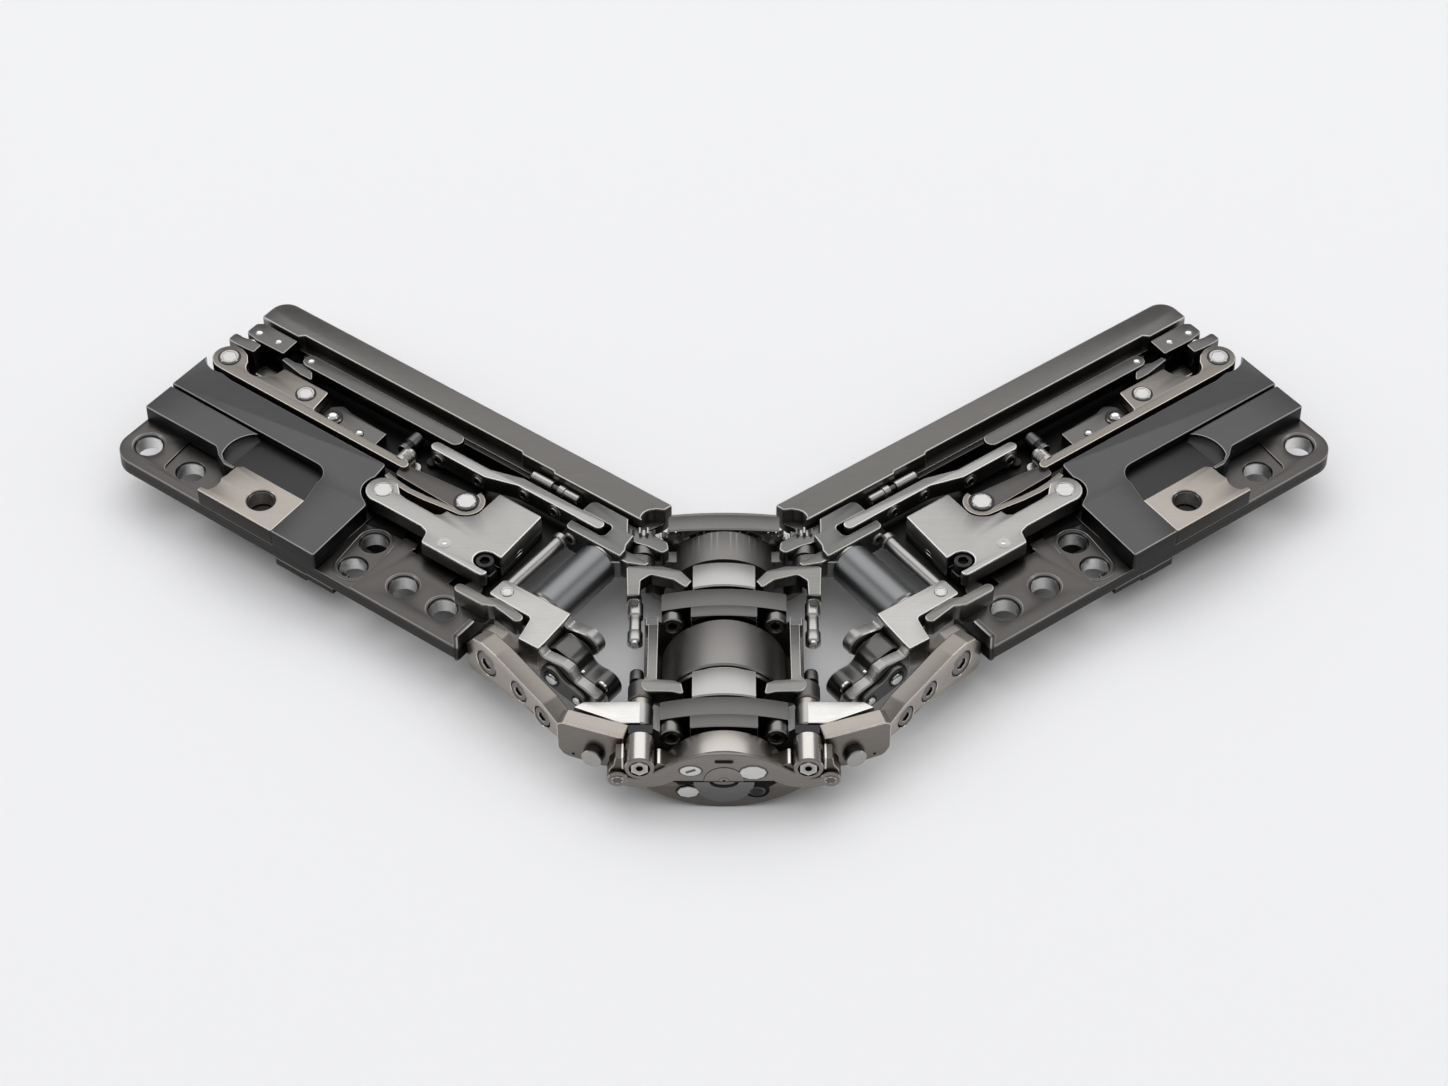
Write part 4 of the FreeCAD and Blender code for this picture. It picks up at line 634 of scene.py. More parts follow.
def cover_plate():
    """Near strip with a ramp at its inner end, far strip with the foot beside the pad, and the pocket's floor."""
    ramp_top = arc((36.6, 2.25), 2.09, 50, -27, 14)
    ramp_low = np.column_stack([np.full(len(ramp_top), 37.7), ramp_top[:, 1]])
    near = outline([(37.15, 0.78, 0.05), (37.84, 0.74, 0.4), (38.6, 1.1, 0.4), (39.25, 1.62, 0.5),
                    (WING_END, 1.62, 0.12), (WING_END, GROOVE_Q - 0.08, 0.08), (37.9, GROOVE_Q - 0.08), ramp_top,
                    (38.1, 1.05, 0.1), (37.15, 0.95)], 6)
    far = outline([(WING_END, GROOVE_Q + 0.05, 0.06), (WING_END, 7.05), arc(RING_A, 1.42, -34, -112, 8),
                   (42.4, 6.42, 0.4), (30.0, 6.42, 0.25), arc(RING_B, 1.3, 28, -66, 8),
                   (28.7, 3.1, 0.3), (28.45, -1.92, 0.15), (31.78, -1.9, 0.05), (31.9, 1.3),
                   arc((33.38, 2.95), 1.08, 188, 92, 10)], 8)
    floor = outline([(31.5, 1.2), (37.2, 1.2), (37.6, 0.95), (38.3, 1.3), (38.3, 3.98), (31.5, 3.98)])
    # The strips' walls are painted near black and the pocket darker than the strips: painted shade. Their bevels are
    # lighter: painted highlights.
    return [plate(near, PLATE_TOP, STRIP_TOP, "charcoal", "edge_dark", 0.06, side="cover_side_painted_shade"),
            plate(far, PLATE_TOP, COVER_TOP, "charcoal", "edge_dark", 0.06, side="cover_side_painted_shade"),
            plate(floor, PLATE_TOP, 3.95, "pocket_painted_shade", "edge_dark", 0.01),
            quilt(ramp_top, ramp_low, STRIP_TOP - 0.005, 3.952, 3.9, "pocket_painted_shade", "edge_dark")]


def mounting_pad():
    """Bronze pad with a scooped outer end and a countersunk hole."""
    line = outline([(31.8, -1.88, 0.1), (37.6, -1.88, 0.08), (37.6, -1.58, 0.05), arc((37.84, -0.88), 0.94, 222, 142, 10),
                    (37.03, 0.1), (37.03, 0.95, 0.12), (36.7, 1.24, 0.2), (31.9, 1.24, 0.06)])
    # The pad's walls are painted near black, painted shade, and its bevels a lighter bronze, painted highlight.
    return [plate(line, PLATE_TOP, PAD_TOP, "pad_bronze", "bronze_edge_painted_highlight", 0.05, 0,
                  [(circle((33.95, -0.3), HOLE_R + 0.08), 0.04, None)], side="plate_side_painted_shade"),
            hole_ring((33.95, -0.3), HOLE_R - 0.02, PLATE_TOP + 0.1, PAD_TOP - 0.02, 0.1)]


def edge_rail():
    """Long rail with a scooped inner end; the near side steps back over the long bar."""
    scoop = arc((14.45, 12.3), 0.72, 55, -50, 8)
    line = outline([(14.95, 11.75, 0.1), (21.5, 11.75), (21.65, 11.9, 0.05), (24.0, 11.9), (24.2, 12.05, 0.05),
                    (41.3, 12.05), (41.6, 11.75, 0.05), (44.6, 11.75, 0.2), (44.6, 13.86, 1.1), (14.2, 13.86, 0.12),
                    (14.35, 13.25, 0.2), (14.82, 13.0, 0.1), scoop], 8)
    low = outline([(14.95, 11.75, 0.1), (44.6, 11.75, 0.2), (44.6, 13.86, 1.1), (14.3, 13.86, 0.2), (14.4, 13.0)], 8)
    # The rail's walls are a lighter copy of its top, painted light, and its bevels a lighter grey, painted highlight.
    return [plate(line, FLOOR_TOP + 0.6, RAIL_TOP, "rail_dark", "edge_bright", 0.1, side="rail_side_painted_light"),
            plate(low, FLOOR_TOP, FLOOR_TOP + 0.62, "rail_dark", "edge_bright", 0.02)]


def long_lever():
    """Lever: ring and tab with a round cut between them, and a slim tail with a line along it."""
    line = outline([(28.9, 6.8, 0.3), (43.5, 6.8), arc(RING_A, RING_R, -88, 105, 18),
                    (43.05, 8.72, 0.25), arc((41.72, 8.42), 0.88, -12, -160, 14), (40.52, 8.35, 0.1),
                    (40.4, 9.12, 0.12), (36.85, 9.12, 0.2), (36.6, 7.4, 0.2), (28.9, 7.4, 0.3)], 6)
    groove = outline([(36.7, 7.47), (41.5, 7.47), (41.5, 7.51), (36.7, 7.51)])
    return [plate(line, LEVER_LOW, LEVER_TOP, "lever_bronze", "bronze_edge_painted_highlight", 0.06),
            plate(groove, LEVER_TOP - 0.1, LEVER_TOP + 0.004, "edge_dark", edge=0.004)]


def slide_links():
    """Toggle block, hook, small bent link and long bar."""
    toggle = outline([(41.38, 10.1, 0.1), (43.4, 10.05, 0.3), (44.5, 10.2, 0.3), (44.5, 11.2, 0.3), (44.1, 11.5, 0.3),
                      (41.43, 11.48, 0.1)])
    hook = outline([(42.93, 9.13, 0.08), (43.7, 9.05, 0.3), (44.98, 9.05, 0.2), (44.98, 9.8, 0.2), (44.3, 9.78, 0.3),
                    (43.6, 9.92, 0.3), (42.98, 9.88, 0.08)])
    link = outline([(41.2, 9.72, 0.1), (41.1, 10.05, 0.1), (40.35, 10.02, 0.2), (39.9, 10.18, 0.25), (38.95, 9.98, 0.3),
                    (38.45, 9.42, 0.1), (39.4, 9.4, 0.2), (40.0, 9.5, 0.2), (40.7, 9.62, 0.1)])
    # The toggle's and the bar's walls are painted black, painted shade; the bevels are a lighter grey, painted
    # highlight.
    return [plate(toggle, LEVER_LOW, LEVER_TOP, "gunmetal", "edge_bright", 0.05, side="black"),
            plate(hook, LEVER_LOW - 0.2, LEVER_TOP, "gunmetal", "edge_bright", 0.05),
            plate(link, LEVER_LOW - 0.1, LEVER_TOP - 0.1, "gunmetal", "edge_bright", 0.05),
            plate(capsule(BAR_END, BAR_PIN, 0.5), LEVER_LOW, LEVER_TOP, "gunmetal", "edge_bright", 0.06, side="black")]


def lever_bush():
    """Threaded bush that lies behind the lever's tail, with a collar at the tail and a domed end."""
    centre = (29.75, 4.0)
    return [threaded(centre, 0.52, 7.45, 8.2, 0.14, 0.06, "bright"), dome(centre, 0.42, 8.1, 8.6, "rivet"),
            turned(centre, [(0.56, 7.3, "bright"), (0.56, 7.55, "steel"), (0.5, 7.62, "edge_bright")], 36)]


def guide_pins():
    """Turned pin between the arm and the rail, along the wing."""
    at = (11.38, 3.92)
    pin = turned(at, [(0.26, 19.3, "link_top"), (0.3, 19.35, "link_top"), (0.3, 20.3, "link_top"), (0.36, 20.34, "edge_mid"),
                      (0.36, 20.75, "edge_mid"), (0.22, 20.8, "gunmetal"), (0.22, 21.2, "gunmetal"),
                      (0.33, 21.25, "link_top"), (0.33, 22.75, "link_top"), (0.26, 22.85, "edge_mid")], 28)
    return [pin]


def sleeve():
    """Dark sleeve with a ring, lying across the channel behind the lever's bush."""
    return [turned((30.45, 3.75), [(0.4, 8.45, "gunmetal"), (0.44, 8.5, "edge_bright"), (0.44, 8.75, "gunmetal"),
                                   (0.36, 8.78, "black"), (0.36, 9.1, "black"), (0.46, 9.15, "edge_bright"),
                                   (0.46, 9.9, "gunmetal"), (0.4, 9.95, "edge_bright")], 32)]


def bent_bar(route, half, low, high, metal_name, rim):
    """Bar of even width along a bent route, round at both ends: both sides are mitred offsets of it."""
    route = np.array(route, float)
    along = np.diff(route, axis=0)
    along = along / np.linalg.norm(along, axis=1, keepdims=True)
    side = np.stack([-along[:, 1], along[:, 0]], 1)
    lean = np.degrees(np.arctan2(along[:, 1], along[:, 0]))
    joint = (side[1:] + side[:-1]) / (1 + np.sum(side[1:] * side[:-1], 1, keepdims=True))
    left = route[1:-1] + joint * half
    right = route[1:-1] - joint * half
    line = np.concatenate([arc(route[0], half, lean[0] + 90, lean[0] + 270, 10), right,
                           arc(route[-1], half, lean[-1] - 90, lean[-1] + 90, 10), left[::-1]])
    # The walls take a grey that on the upper arm is darker than its top, painted shade, and on the lower arm is its own
    # colour.
    return plate(line, low, high, metal_name, rim, 0.08, 0.04, side="arm_grey")


def latch_bracket():
    """Ring, flat arm and deep box; the near corner of the box is cut out for its hexagon screw."""
    line = outline([(24.1, 2.6, 0.2), (24.4, 3.45, 0.35), (25.0, 3.62, 0.3), (28.1, 3.6),
                    arc(RING_B, RING_R, -85, 80, 14), (28.3, 5.55, 0.2), (27.65, 4.95, 0.25), (27.1, 4.88, 0.3),
                    (24.9, 4.88, 0.2), (24.62, 5.1, 0.1), arc(PIN_C, 1.46, -80, -152, 8), (22.93, 6.5, 0.1),
                    (22.95, 8.5, 0.15), (19.75, 8.5, 0.15), (19.5, 4.38, 0.1), (20.2, 4.42, 0.05),
                    arc((20.2, 3.73), 0.66, 85, -85, 10), (19.9, 3.06, 0.1), (19.45, 3.08, 0.12), (19.4, 2.6, 0.28)], 6)
    box = outline([(19.5, 4.38, 0.1), (22.93, 4.4, 0.1), (22.95, 8.5, 0.15), (19.75, 8.5, 0.15)])
    # The walls are a darker copy of the bracket steel, painted shade, and the bevels a brighter steel, painted
    # highlight.
    return [plate(line, BRACKET_LOW, BRACKET_TOP, "bracket_steel", "bright", 0.09, side="bracket_side_painted_shade"),
            plate(box, 2.95, BRACKET_LOW + 0.05, "bracket_steel", "bright", 0.02, 0.05, side="bracket_side_painted_shade")]


def box_end():
    """Slot in the box's end face, with a dark floor, painted near black as shade, and a thin lip."""
    ring = capsule((5.75, 3.55), (6.3, 3.55), 0.15)
    return [facing_front(plate(ring, -19.85, -19.585, "bracket_steel", "bright", 0.02, 0,
                               [(capsule((5.75, 3.55), (6.3, 3.55), 0.11), 0.02, 0.1)])),
            facing_front(plate(capsule((5.75, 3.55), (6.3, 3.55), 0.1), -19.8, -19.6, "socket"))]


def short_link():
    """Dark link with a bronze band along its near side, from under the lever's tail round the big pin."""
    body = outline([(29.2, 6.3, 0.3), (29.4, 7.3, 0.3), arc(PIN_C, 0.82, 100, 262, 16)], 6)
    outer = np.concatenate([[[29.6, 5.78], [28.6, 5.56], [27.6, 5.49], [26.4, 5.56], [25.2, 5.74]],
                            arc(PIN_C, 1.13, 256, 100, 18)])
    inner = np.concatenate([arc(PIN_C, 0.8, 100, 258, 18),
                            [[25.3, 6.12], [26.4, 5.96], [27.6, 5.88], [28.5, 5.94], [29.55, 6.14]]])
    band = outline([np.concatenate([outer, inner])])
    return [plate(band, 3.5, LINK_TOP, "lever_bronze", "bronze_edge_painted_highlight", 0.04),
            plate(body, 3.58, LINK_TOP - 0.06, "plate_dark", "edge_dark", 0.05)]


def wing_pins():
    """Rivets, screws, rollers and bushes."""
    shapes = [rivet(RING_A, 0.62, LEVER_LOW, LEVER_TOP + 0.1), rivet(SCREW_S, 0.57, LEVER_LOW, LEVER_TOP + 0.1),
              rivet(RING_B, 0.64, BRACKET_LOW, BRACKET_TOP + 0.03, dimple=0.74),
              rivet(PIN_C, 0.64, LEVER_LOW, LINK_TOP + 0.1, dimple=0.78),
              # A black collar under this rivet: painted shade in its gap.
              turned(PIN_C, [(0.76, LINK_TOP - 0.1, "black"), (0.76, LINK_TOP + 0.03, "black"),
                             (0.6, LINK_TOP + 0.035, "black")]),
              turned(TAIL_BUSH, [(0.45, FLOOR_TOP, "gunmetal"), (0.45, 3.5, "gunmetal"), (0.4, 3.55, "edge_bright")]),
              screw((20.22, 3.76), 0.56, 3.7, BRACKET_TOP - 0.12, "black", "hex", 0.5),
              turned((20.22, 3.76), [(0.6, FLOOR_TOP, "black", "hex"), (0.6, 3.75, "black", "hex"),
                                     (0.5, 3.8, "gunmetal")], 36),
              turned((22.92, 3.34), [(0.4, 4.5, "steel"), (0.4, BRACKET_TOP + 0.015, "edge_dark"),
                                     (0.34, BRACKET_TOP + 0.015, "steel"), (0.3, BRACKET_TOP + 0.005, "steel")], 32),
              dome((22.92, 3.34), 0.23, BRACKET_LOW, BRACKET_TOP + 0.033),
              dome((35.82, 8.21), 0.4, FLOOR_TOP, 4.0),
              turned((35.82, 8.21), [(0.62, FLOOR_TOP, "gunmetal"), (0.62, 3.76, "gunmetal"), (0.56, 3.82, "edge_bright"),
                                     (0.44, 3.82, "black")], 32),
              dome((33.56, 8.06), 0.27, FLOOR_TOP, 3.95, "polished"),
              turned((19.87, 2.21), [(0.56, FLOOR_TOP, "black"), (0.56, 3.6, "black"), (0.5, 3.66, "gunmetal")], 28)]
    for at, radius in (((43.83, 10.66), 0.3), ((42.34, 10.75), 0.26), (BAR_PIN, 0.26)):
        shapes.append(dome(at, radius, LEVER_LOW, LEVER_TOP + 0.07))
    shapes.append(dome((43.75, 9.93), 0.34, FLOOR_TOP, 4.42))
    return shapes


def channel_floor():
    """Dark parts seen in the channel: a stepped plate, a block and low bars."""
    step = outline([(32.2, 7.5, 0.1), (36.5, 7.5, 0.2), (36.5, 8.9, 0.5), (35.9, 9.42, 0.3), (35.2, 9.2, 0.3),
                    (32.3, 9.1, 0.1)])
    shelf = outline([(24.9, 8.2, 0.2), (30.4, 8.2, 0.2), (30.4, 10.0), (24.9, 10.0, 0.2)])
    rib = outline([(20.0, 11.2, 0.1), (40.8, 11.2, 0.1), (40.8, 11.6), (20.0, 11.6)])
    nub = outline([(40.9, 8.6, 0.2), (42.6, 8.6, 0.2), (42.6, 9.6, 0.2), (40.9, 9.6, 0.2)])
    return [plate(step, FLOOR_TOP, 3.68, "gunmetal", "edge_bright", 0.04),
            # The shelf and the rib are painted near black: painted shade deep in the channel.
            plate(shelf, FLOOR_TOP, 3.2, "cavity", "plate_dark", 0.04),
            plate(rib, FLOOR_TOP, 3.75, "cavity", "plate_dark", 0.05),
            plate(nub, FLOOR_TOP, 3.3, "gunmetal", "edge_bright", 0.1)]


def slide_arms():
    """Upper and lower slide arm."""
    upper = bent_bar([(28.55, 9.4), (24.66, 9.4), (22.6, 10.02), (16.75, 10.02)], 0.36, 3.45, 4.6, "bracket_steel",
                     "bright")
    lower = bent_bar([(20.0, 1.22), (18.2, 1.26), (17.5, 1.6), (15.85, 1.36)], 0.34, 3.3, 4.45, "arm_grey",
                     "edge_mid")
    return upper, lower


def arm_screws():
    """Screws in the near side of the upper arm, seen between the arm and the box."""
    shapes = []
    for p, z, r, q in [(28.15, 3.95, 0.42, 9.04), (25.1, 3.95, 0.34, 9.04), (22.1, 4.1, 0.33, 9.68),
                       (19.8, 4.05, 0.33, 9.66)]:
        shapes.append(facing_front(screw((p, z), r, -q - 0.1, -q + 0.14, "steel", "hex", 0.5, 0.12)))
        # A black ring round each screw, painted shade in the gap, and a bright ring round that, painted highlight.
        shapes.append(facing_front(pipe((p, z), [(r + 0.04, -q - 0.1, "black"), (r + 0.04, -q + 0.03, "black"),
                                                 (r + 0.1, -q + 0.05, "bright"), (r + 0.16, -q + 0.02, "steel"),
                                                 (r + 0.16, -q - 0.1, "steel")], 32)))
    bolt = (17.86, 3.73)
    shapes.append(facing_front(turned(bolt, [(0.42, -8.9, "bright"), (0.42, -8.68, "edge_bright"), (0.36, -8.6, "steel"),
                                             (0.25, -8.6, "steel"), (0.2, -8.66, "black", "hex"),
                                             (0.1, -8.68, "black")], 32)))
    return shapes


def make_wing(name, side):
    """All pieces of one wing."""
    flat = place(side, "wing")
    wall = place(side, "wing_wall")
    end = place(side, "wing_end")
    turn = side * WING_ANGLE
    body = name + "_wing"

    def flat_piece(label, shapes, node=True, extra=()):
        piece(name + "_" + label + "_look", body, [(flat, s) for s in shapes] + list(extra),
              name + "_" + label if node else None, turn)

    flat_piece("base_plate", base_plate() + housing(), extra=[(end, s) for s in base_walls()])
    flat_piece("cover_plate", cover_plate())
    flat_piece("mounting_pad", mounting_pad())
    flat_piece("edge_rail", edge_rail())
    flat_piece("long_lever", long_lever())
    flat_piece("slide_links", slide_links())
    flat_piece("latch_bracket", latch_bracket(), extra=[(end, s) for s in box_end()])
    flat_piece("short_link", short_link())
    flat_piece("wing_pins", wing_pins(), extra=[(wall, s) for s in arm_screws() + lever_bush() + sleeve()] + [(end, s) for s in guide_pins()])
    flat_piece("channel_floor", channel_floor(), node=False)
    upper, lower = slide_arms()
    flat_piece("upper_arm", [upper])
    flat_piece("lower_arm", [lower])


# Carriage

def rear_block():
    """Rear slide block with its slot, and the forked webs that reach for the fold pin."""
    line = outline([(18.3, 8.72, 0.35), (18.3, 9.42), (15.95, 9.42, 0.3), (15.95, 10.42, 0.3),
                    (18.3, 10.42), (18.3, 11.5, 0.45), (15.68, 11.5, 0.12), (15.0, 10.6, 0.1),
                    (14.55, 10.6, 0.1), (14.42, 9.7, 0.2),
                    (14.2, 9.3, 0.1), (14.15, 8.72, 0.1)])
    far = outline([(15.2, 10.5), (15.75, 11.5), (14.63, 11.6, 0.1), (14.03, 11.66), (12.95, 11.69, 0.3), (12.5, 11.25, 0.25),
                   (12.61, 10.78, 0.2), (13.63, 10.7, 0.3), (14.34, 10.51)])
    near = outline([(14.4, 8.74), (13.73, 8.76, 0.15), (12.7, 9.25, 0.2), (12.6, 9.6, 0.12), (14.5, 9.6)])
    # The walls are a darker copy of the block's silver, painted shade, and the bevels a lighter grey, painted
    # highlight.
    return [plate(line, BLOCK_LOW, BLOCK_TOP, "rear_silver", "edge_mid", 0.09, 0.05, side="rear_side_painted_shade"),
            plate(far, 2.9, 4.05, "rear_silver", "edge_mid", 0.08, 0.05, side="rear_side_painted_shade"),
            plate(near, 2.9, 4.2, "rear_silver", "edge_mid", 0.1, 0.05, side="rear_side_painted_shade")]


def front_block():
    """Front slide block: its slot, the foot beside it and the bay for the dark link."""
    line = outline([(13.3, 0.1, 0.1), (14.75, 0.05, 0.1), (14.95, 0.9, 0.15), (15.2, 1.78, 0.3),
                    (18.36, 1.82, 0.2), (18.36, 3.3, 0.3), (13.55, 3.42, 0.12), (13.45, 2.72, 0.15), (13.3, 0.75, 0.15)])
    return plate(line, BLOCK_LOW, BLOCK_TOP, "steel", "bright", 0.08, 0.05, side="steel_side")


def prongs():
    """Two forked prongs of the front block, as standing walls with a bend below the block's top."""
    far = outline([(11.9, 2.75), (14.2, 2.8), (14.2, 4.48), (13.7, 4.48, 0.15), (13.2, 4.12, 0.3), (12.5, 4.3, 0.3),
                   arc((11.75, 3.65), 0.78, 75, 260, 14)])
    near = outline([arc((9.55, 2.5), 0.52, 120, 260, 10), (10.9, 1.95, 0.5), (11.8, 2.45, 0.5), (14.2, 2.6), (14.2, 4.48),
                    (13.5, 4.48, 0.15), (13.05, 3.95, 0.3), (12.3, 4.05, 0.3), (11.7, 4.1, 0.3), (11.1, 3.95, 0.3),
                    (10.7, 3.3, 0.35), (10.1, 3.2, 0.3)])
    return [plate(far, 2.65, 3.38, "steel_front", "bright", 0.08, 0.08, side="prong_top"),
            plate(near, 0.16, 0.85, "steel_front", "bright", 0.08, 0.08, side="prong_top")]


def side_links():
    """Dark curved link between the prongs and slim link beside the near one."""
    upper = outline([arc((12.6, 3.3), 0.85, -110, 80, 14), (11.5, 3.9, 0.8), (11.0, 2.9, 0.7), arc((10.05, 1.95), 0.92, 75, 262, 18),
                     (11.0, 1.5, 0.8), (11.7, 2.5, 0.8)], 8)
    slim = outline([arc((12.2, 2.95), 0.85, -40, 140, 12), (11.2, 3.25, 0.6), arc((10.3, 2.35), 0.6, 110, 290, 10)])
    return [plate(upper, 1.05, 2.5, "link_face", "edge_bright", 0.1, 0.1, side="link_round"),
            plate(slim, -0.16, 0.1, "gunmetal", "edge_bright", 0.05, 0.05)]


def cross_shafts():
    """Torque barrel with bevelled ends and a bright ring at each, painted highlights, the polished rod, and a flat bar
    between.
    """
    barrel = turned((15.6, 3.25), [(1.1, 3.3, "steel"), (1.16, 3.36, "bright"), (1.16, 3.5, "steel"),
                                   (1.18, 3.52, "black"), (1.3, 3.62, "edge_bright"), (1.3, 3.66, "barrel_blue"),
                                   (1.3, 8.4, "barrel_blue"), (1.2, 8.52, "edge_bright"), (1.14, 8.54, "black"),
                                   (1.14, 8.72, "steel")], 64)
    rod = turned((18.45, 3.3), [(0.44, 3.3, "rod_steel"), (0.44, 8.72, "rod_steel")], 40)
    cuff = turned((18.45, 3.3), [(0.5, 8.3, "steel"), (0.56, 8.36, "bright"), (0.56, 8.66, "steel"),
                                 (0.5, 8.72, "steel")], 40)
    flat = plate(outline([(17.1, 3.35), (17.5, 3.35), (17.5, 8.7), (17.1, 8.7)]), 2.4, 2.75, "steel", "bright", 0.03)
    return [barrel, rod, cuff], flat


def front_arm():
    """Bronze arm as a wall along its own line, with three countersunk screws."""
    line = outline([(-0.25, 2.0, 0.2), (0.8, 2.0), (2.6, 2.25, 0.8), (3.9, 2.35, 0.8), (4.9, 2.08, 0.8), (6.2, 1.82),
                    (7.8, 1.6, 0.5), (8.45, 1.62, 0.3), (8.68, 2.1, 0.2), (8.62, 3.6, 0.12), (8.05, 4.35, 0.12),
                    (7.3, 4.58, 0.8), (6.0, 4.52, 1.2), (3.4, 4.0, 2.0), (1.9, 3.72, 1.0), (0.7, 3.2, 0.4),
                    (-0.25, 3.15)], 8)
    holes = [((6.9, 3.15), 0.86), ((4.05, 3.1), 0.7), ((2.0, 2.65), 0.7)]
    # The arm's walls are a darker copy of its bronze, painted shade, and its bevels a lighter one, painted highlight.
    body = plate(line, -1.14, 0, "bronze", "bronze_edge_painted_highlight", 0.06, 0.07, [(circle(c, r), 0.04, 0.14) for c, r in holes],
                 side="arm_side_painted_shade")
    heads = []
    for centre, r in holes:
        # Each head sits in a black ring, painted shade in the gap, and its socket is painted near black, painted shade.
        heads.append(turned(centre, [
            (r - 0.02, -0.2, "black"), (r - 0.02, -0.1, "black"), (r * 0.88, -0.09, "black"),
            (r * 0.84, -0.03, "edge_bright"), (r * 0.76, 0.0, "graphite"), (r * 0.5, 0.0, "graphite"),
            (r * 0.4, -0.03, "edge_bright", "hex"), (r * 0.36, -0.25, "socket", "hex"), (0.05, -0.25, "socket")], 36))
    return [facing_front(s) for s in [body] + heads]


def toe():
    """Toe of the arm: a flat block with a large corner below, its pin and a tiny hole."""
    line = outline([(0.05, 1.4, 0.15), (1.6, 1.25, 0.6), (3.6, 1.42, 0.6), (3.95, 2.0, 0.5), (3.97, 3.9, 0.2),
                    (3.6, 4.08, 0.2), (0.02, 4.0, 0.1)], 8)
    # The toe's walls are a lighter copy of its bronze, painted light, and its bevels lighter still, painted highlight.
    body = plate(line, -1.12, 0, "toe_bronze", "bronze_edge_painted_highlight", 0.07, 0.08, side="toe_top_painted_light")
    # The pin sits in a black ring, painted shade in the gap; the tiny hole is a near black disc, painted shade.
    pin = turned((1.72, 2.28), [(0.68, -0.2, "black"), (0.68, 0.03, "black"), (0.62, 0.035, "gunmetal"),
                                (0.62, 0.5, "gunmetal"), (0.57, 0.57, "edge_bright"), (0.52, 0.57, "steel")], 40)
    dot = turned((3.0, 1.72), [(0.09, -0.1, "socket"), (0.09, 0.012, "socket")], 16)
    return [facing_front(s) for s in (body, pin, dot)]


def spacer():
    """Rounded spacer between the arm and the front block."""
    line = outline([(14.7, 2.9, 0.3), (17.2, 2.7, 0.4), (17.3, 4.15, 0.6), (15.7, 4.15, 0.5), (14.5, 3.5, 0.3)])
    return plate(line, -0.45, 0.36, "arm_side_painted_shade", "edge_mid", 0.07, 0.07)


def gusset():
    """Bright gusset plate over the front fold pin, and its knuckle."""
    flat = plate(outline([(4.7, 2.85), (5.78, 2.85), (8.44, 4.05), (7.9, 4.45, 0.2), (4.7, 4.5)]), 3.25, 4.0,
                 "bright", "polished", 0.05)
    knuckle = turned((FOLD_X, FOLD_Z), [(0.62, 2.85, "steel"), (0.72, 2.92, "bright"), (0.72, 4.43, "steel"),
                                        (0.62, 4.5, "bright")], 40)
    return flat, knuckle


def t_bracket():
    """Long bar with a hook to the saddle, a tail block and the knuckle on the fold pin."""
    hook = outline([(2.25, 5.0, 0.15), (2.93, 5.2, 0.3), (4.4, 5.25, 0.2), (4.72, 5.6, 0.25), (4.75, 6.0, 0.2),
                    (4.38, 6.45, 0.3), (4.35, 10.5, 0.05), (3.75, 10.5, 0.05), (3.78, 6.2, 0.08), (2.85, 6.12, 0.2),
                    (2.4, 5.9, 0.2)])
    # The walls and the low bar under the hook are a darker copy of the silver: painted shade.
    top = plate(hook, 3.0, 4.02, "link_silver", "edge_mid", 0.08, 0.05, side="link_side_painted_shade")
    low = plate(outline([(3.8, 5.4), (4.3, 5.4), (4.3, 10.5), (3.8, 10.5)]), 2.83, 3.05, "link_side_painted_shade", "edge_mid", 0.02)
    tail = plate(outline([(3.75, 10.52, 0.06), (4.5, 10.52, 0.06), (4.5, 11.2, 0.1), (3.75, 11.2, 0.1)]), 2.88, 3.9,
                 "gunmetal", "edge_bright", 0.06)
    boss = turned((FOLD_X, FOLD_Z), [(0.66, 4.95, "gunmetal"), (0.74, 5.0, "edge_bright"), (0.74, 6.1, "gunmetal"),
                                     (0.7, 6.15, "edge_bright"), (0.5, 6.2, "gunmetal"), (0.5, 6.4, "gunmetal")], 40)
    return [top, low, tail], boss


def bent_bracket():
    """Angled bracket from the rear block: a leg to the front and a hook to the saddle."""
    line = outline([(4.86, 12.72, 0.05), (5.6, 12.66, 0.05), (5.68, 15.0, 0.2), (5.5, 15.1, 0.1), (3.6, 15.08, 0.5),
                    (2.5, 14.72, 0.4), (1.85, 13.85, 0.12), (2.2, 13.32, 0.12), (2.9, 13.95, 0.3), (4.25, 14.38, 0.3),
                    (4.82, 13.9, 0.3)])
    # The walls are a darker copy of the silver: painted shade.
    return plate(line, FOLD_Z, 4.12, "link_silver", "edge_mid", 0.08, 0.05, side="link_side_painted_shade")


def drop_link():
    """Small round link between the brackets: a thinner middle between two wider ends."""
    body = outline([(4.66, 2.83, 0.3), (5.56, 2.83, 0.3), (5.56, 3.66, 0.35), (4.66, 3.66, 0.35)], 8)
    shapes = [plate(body, 9.45, 10.5, "link_front", "bright", 0.12, 0.25, side="link_top"),
              plate(inset(body, 0.1), 10.4, 11.7, "link_front", "edge_bright", 0.05, 0.05, side="link_top"),
              plate(body, 11.6, 12.75, "link_front", "bright", 0.1, 0.15, side="link_top")]
    return shapes


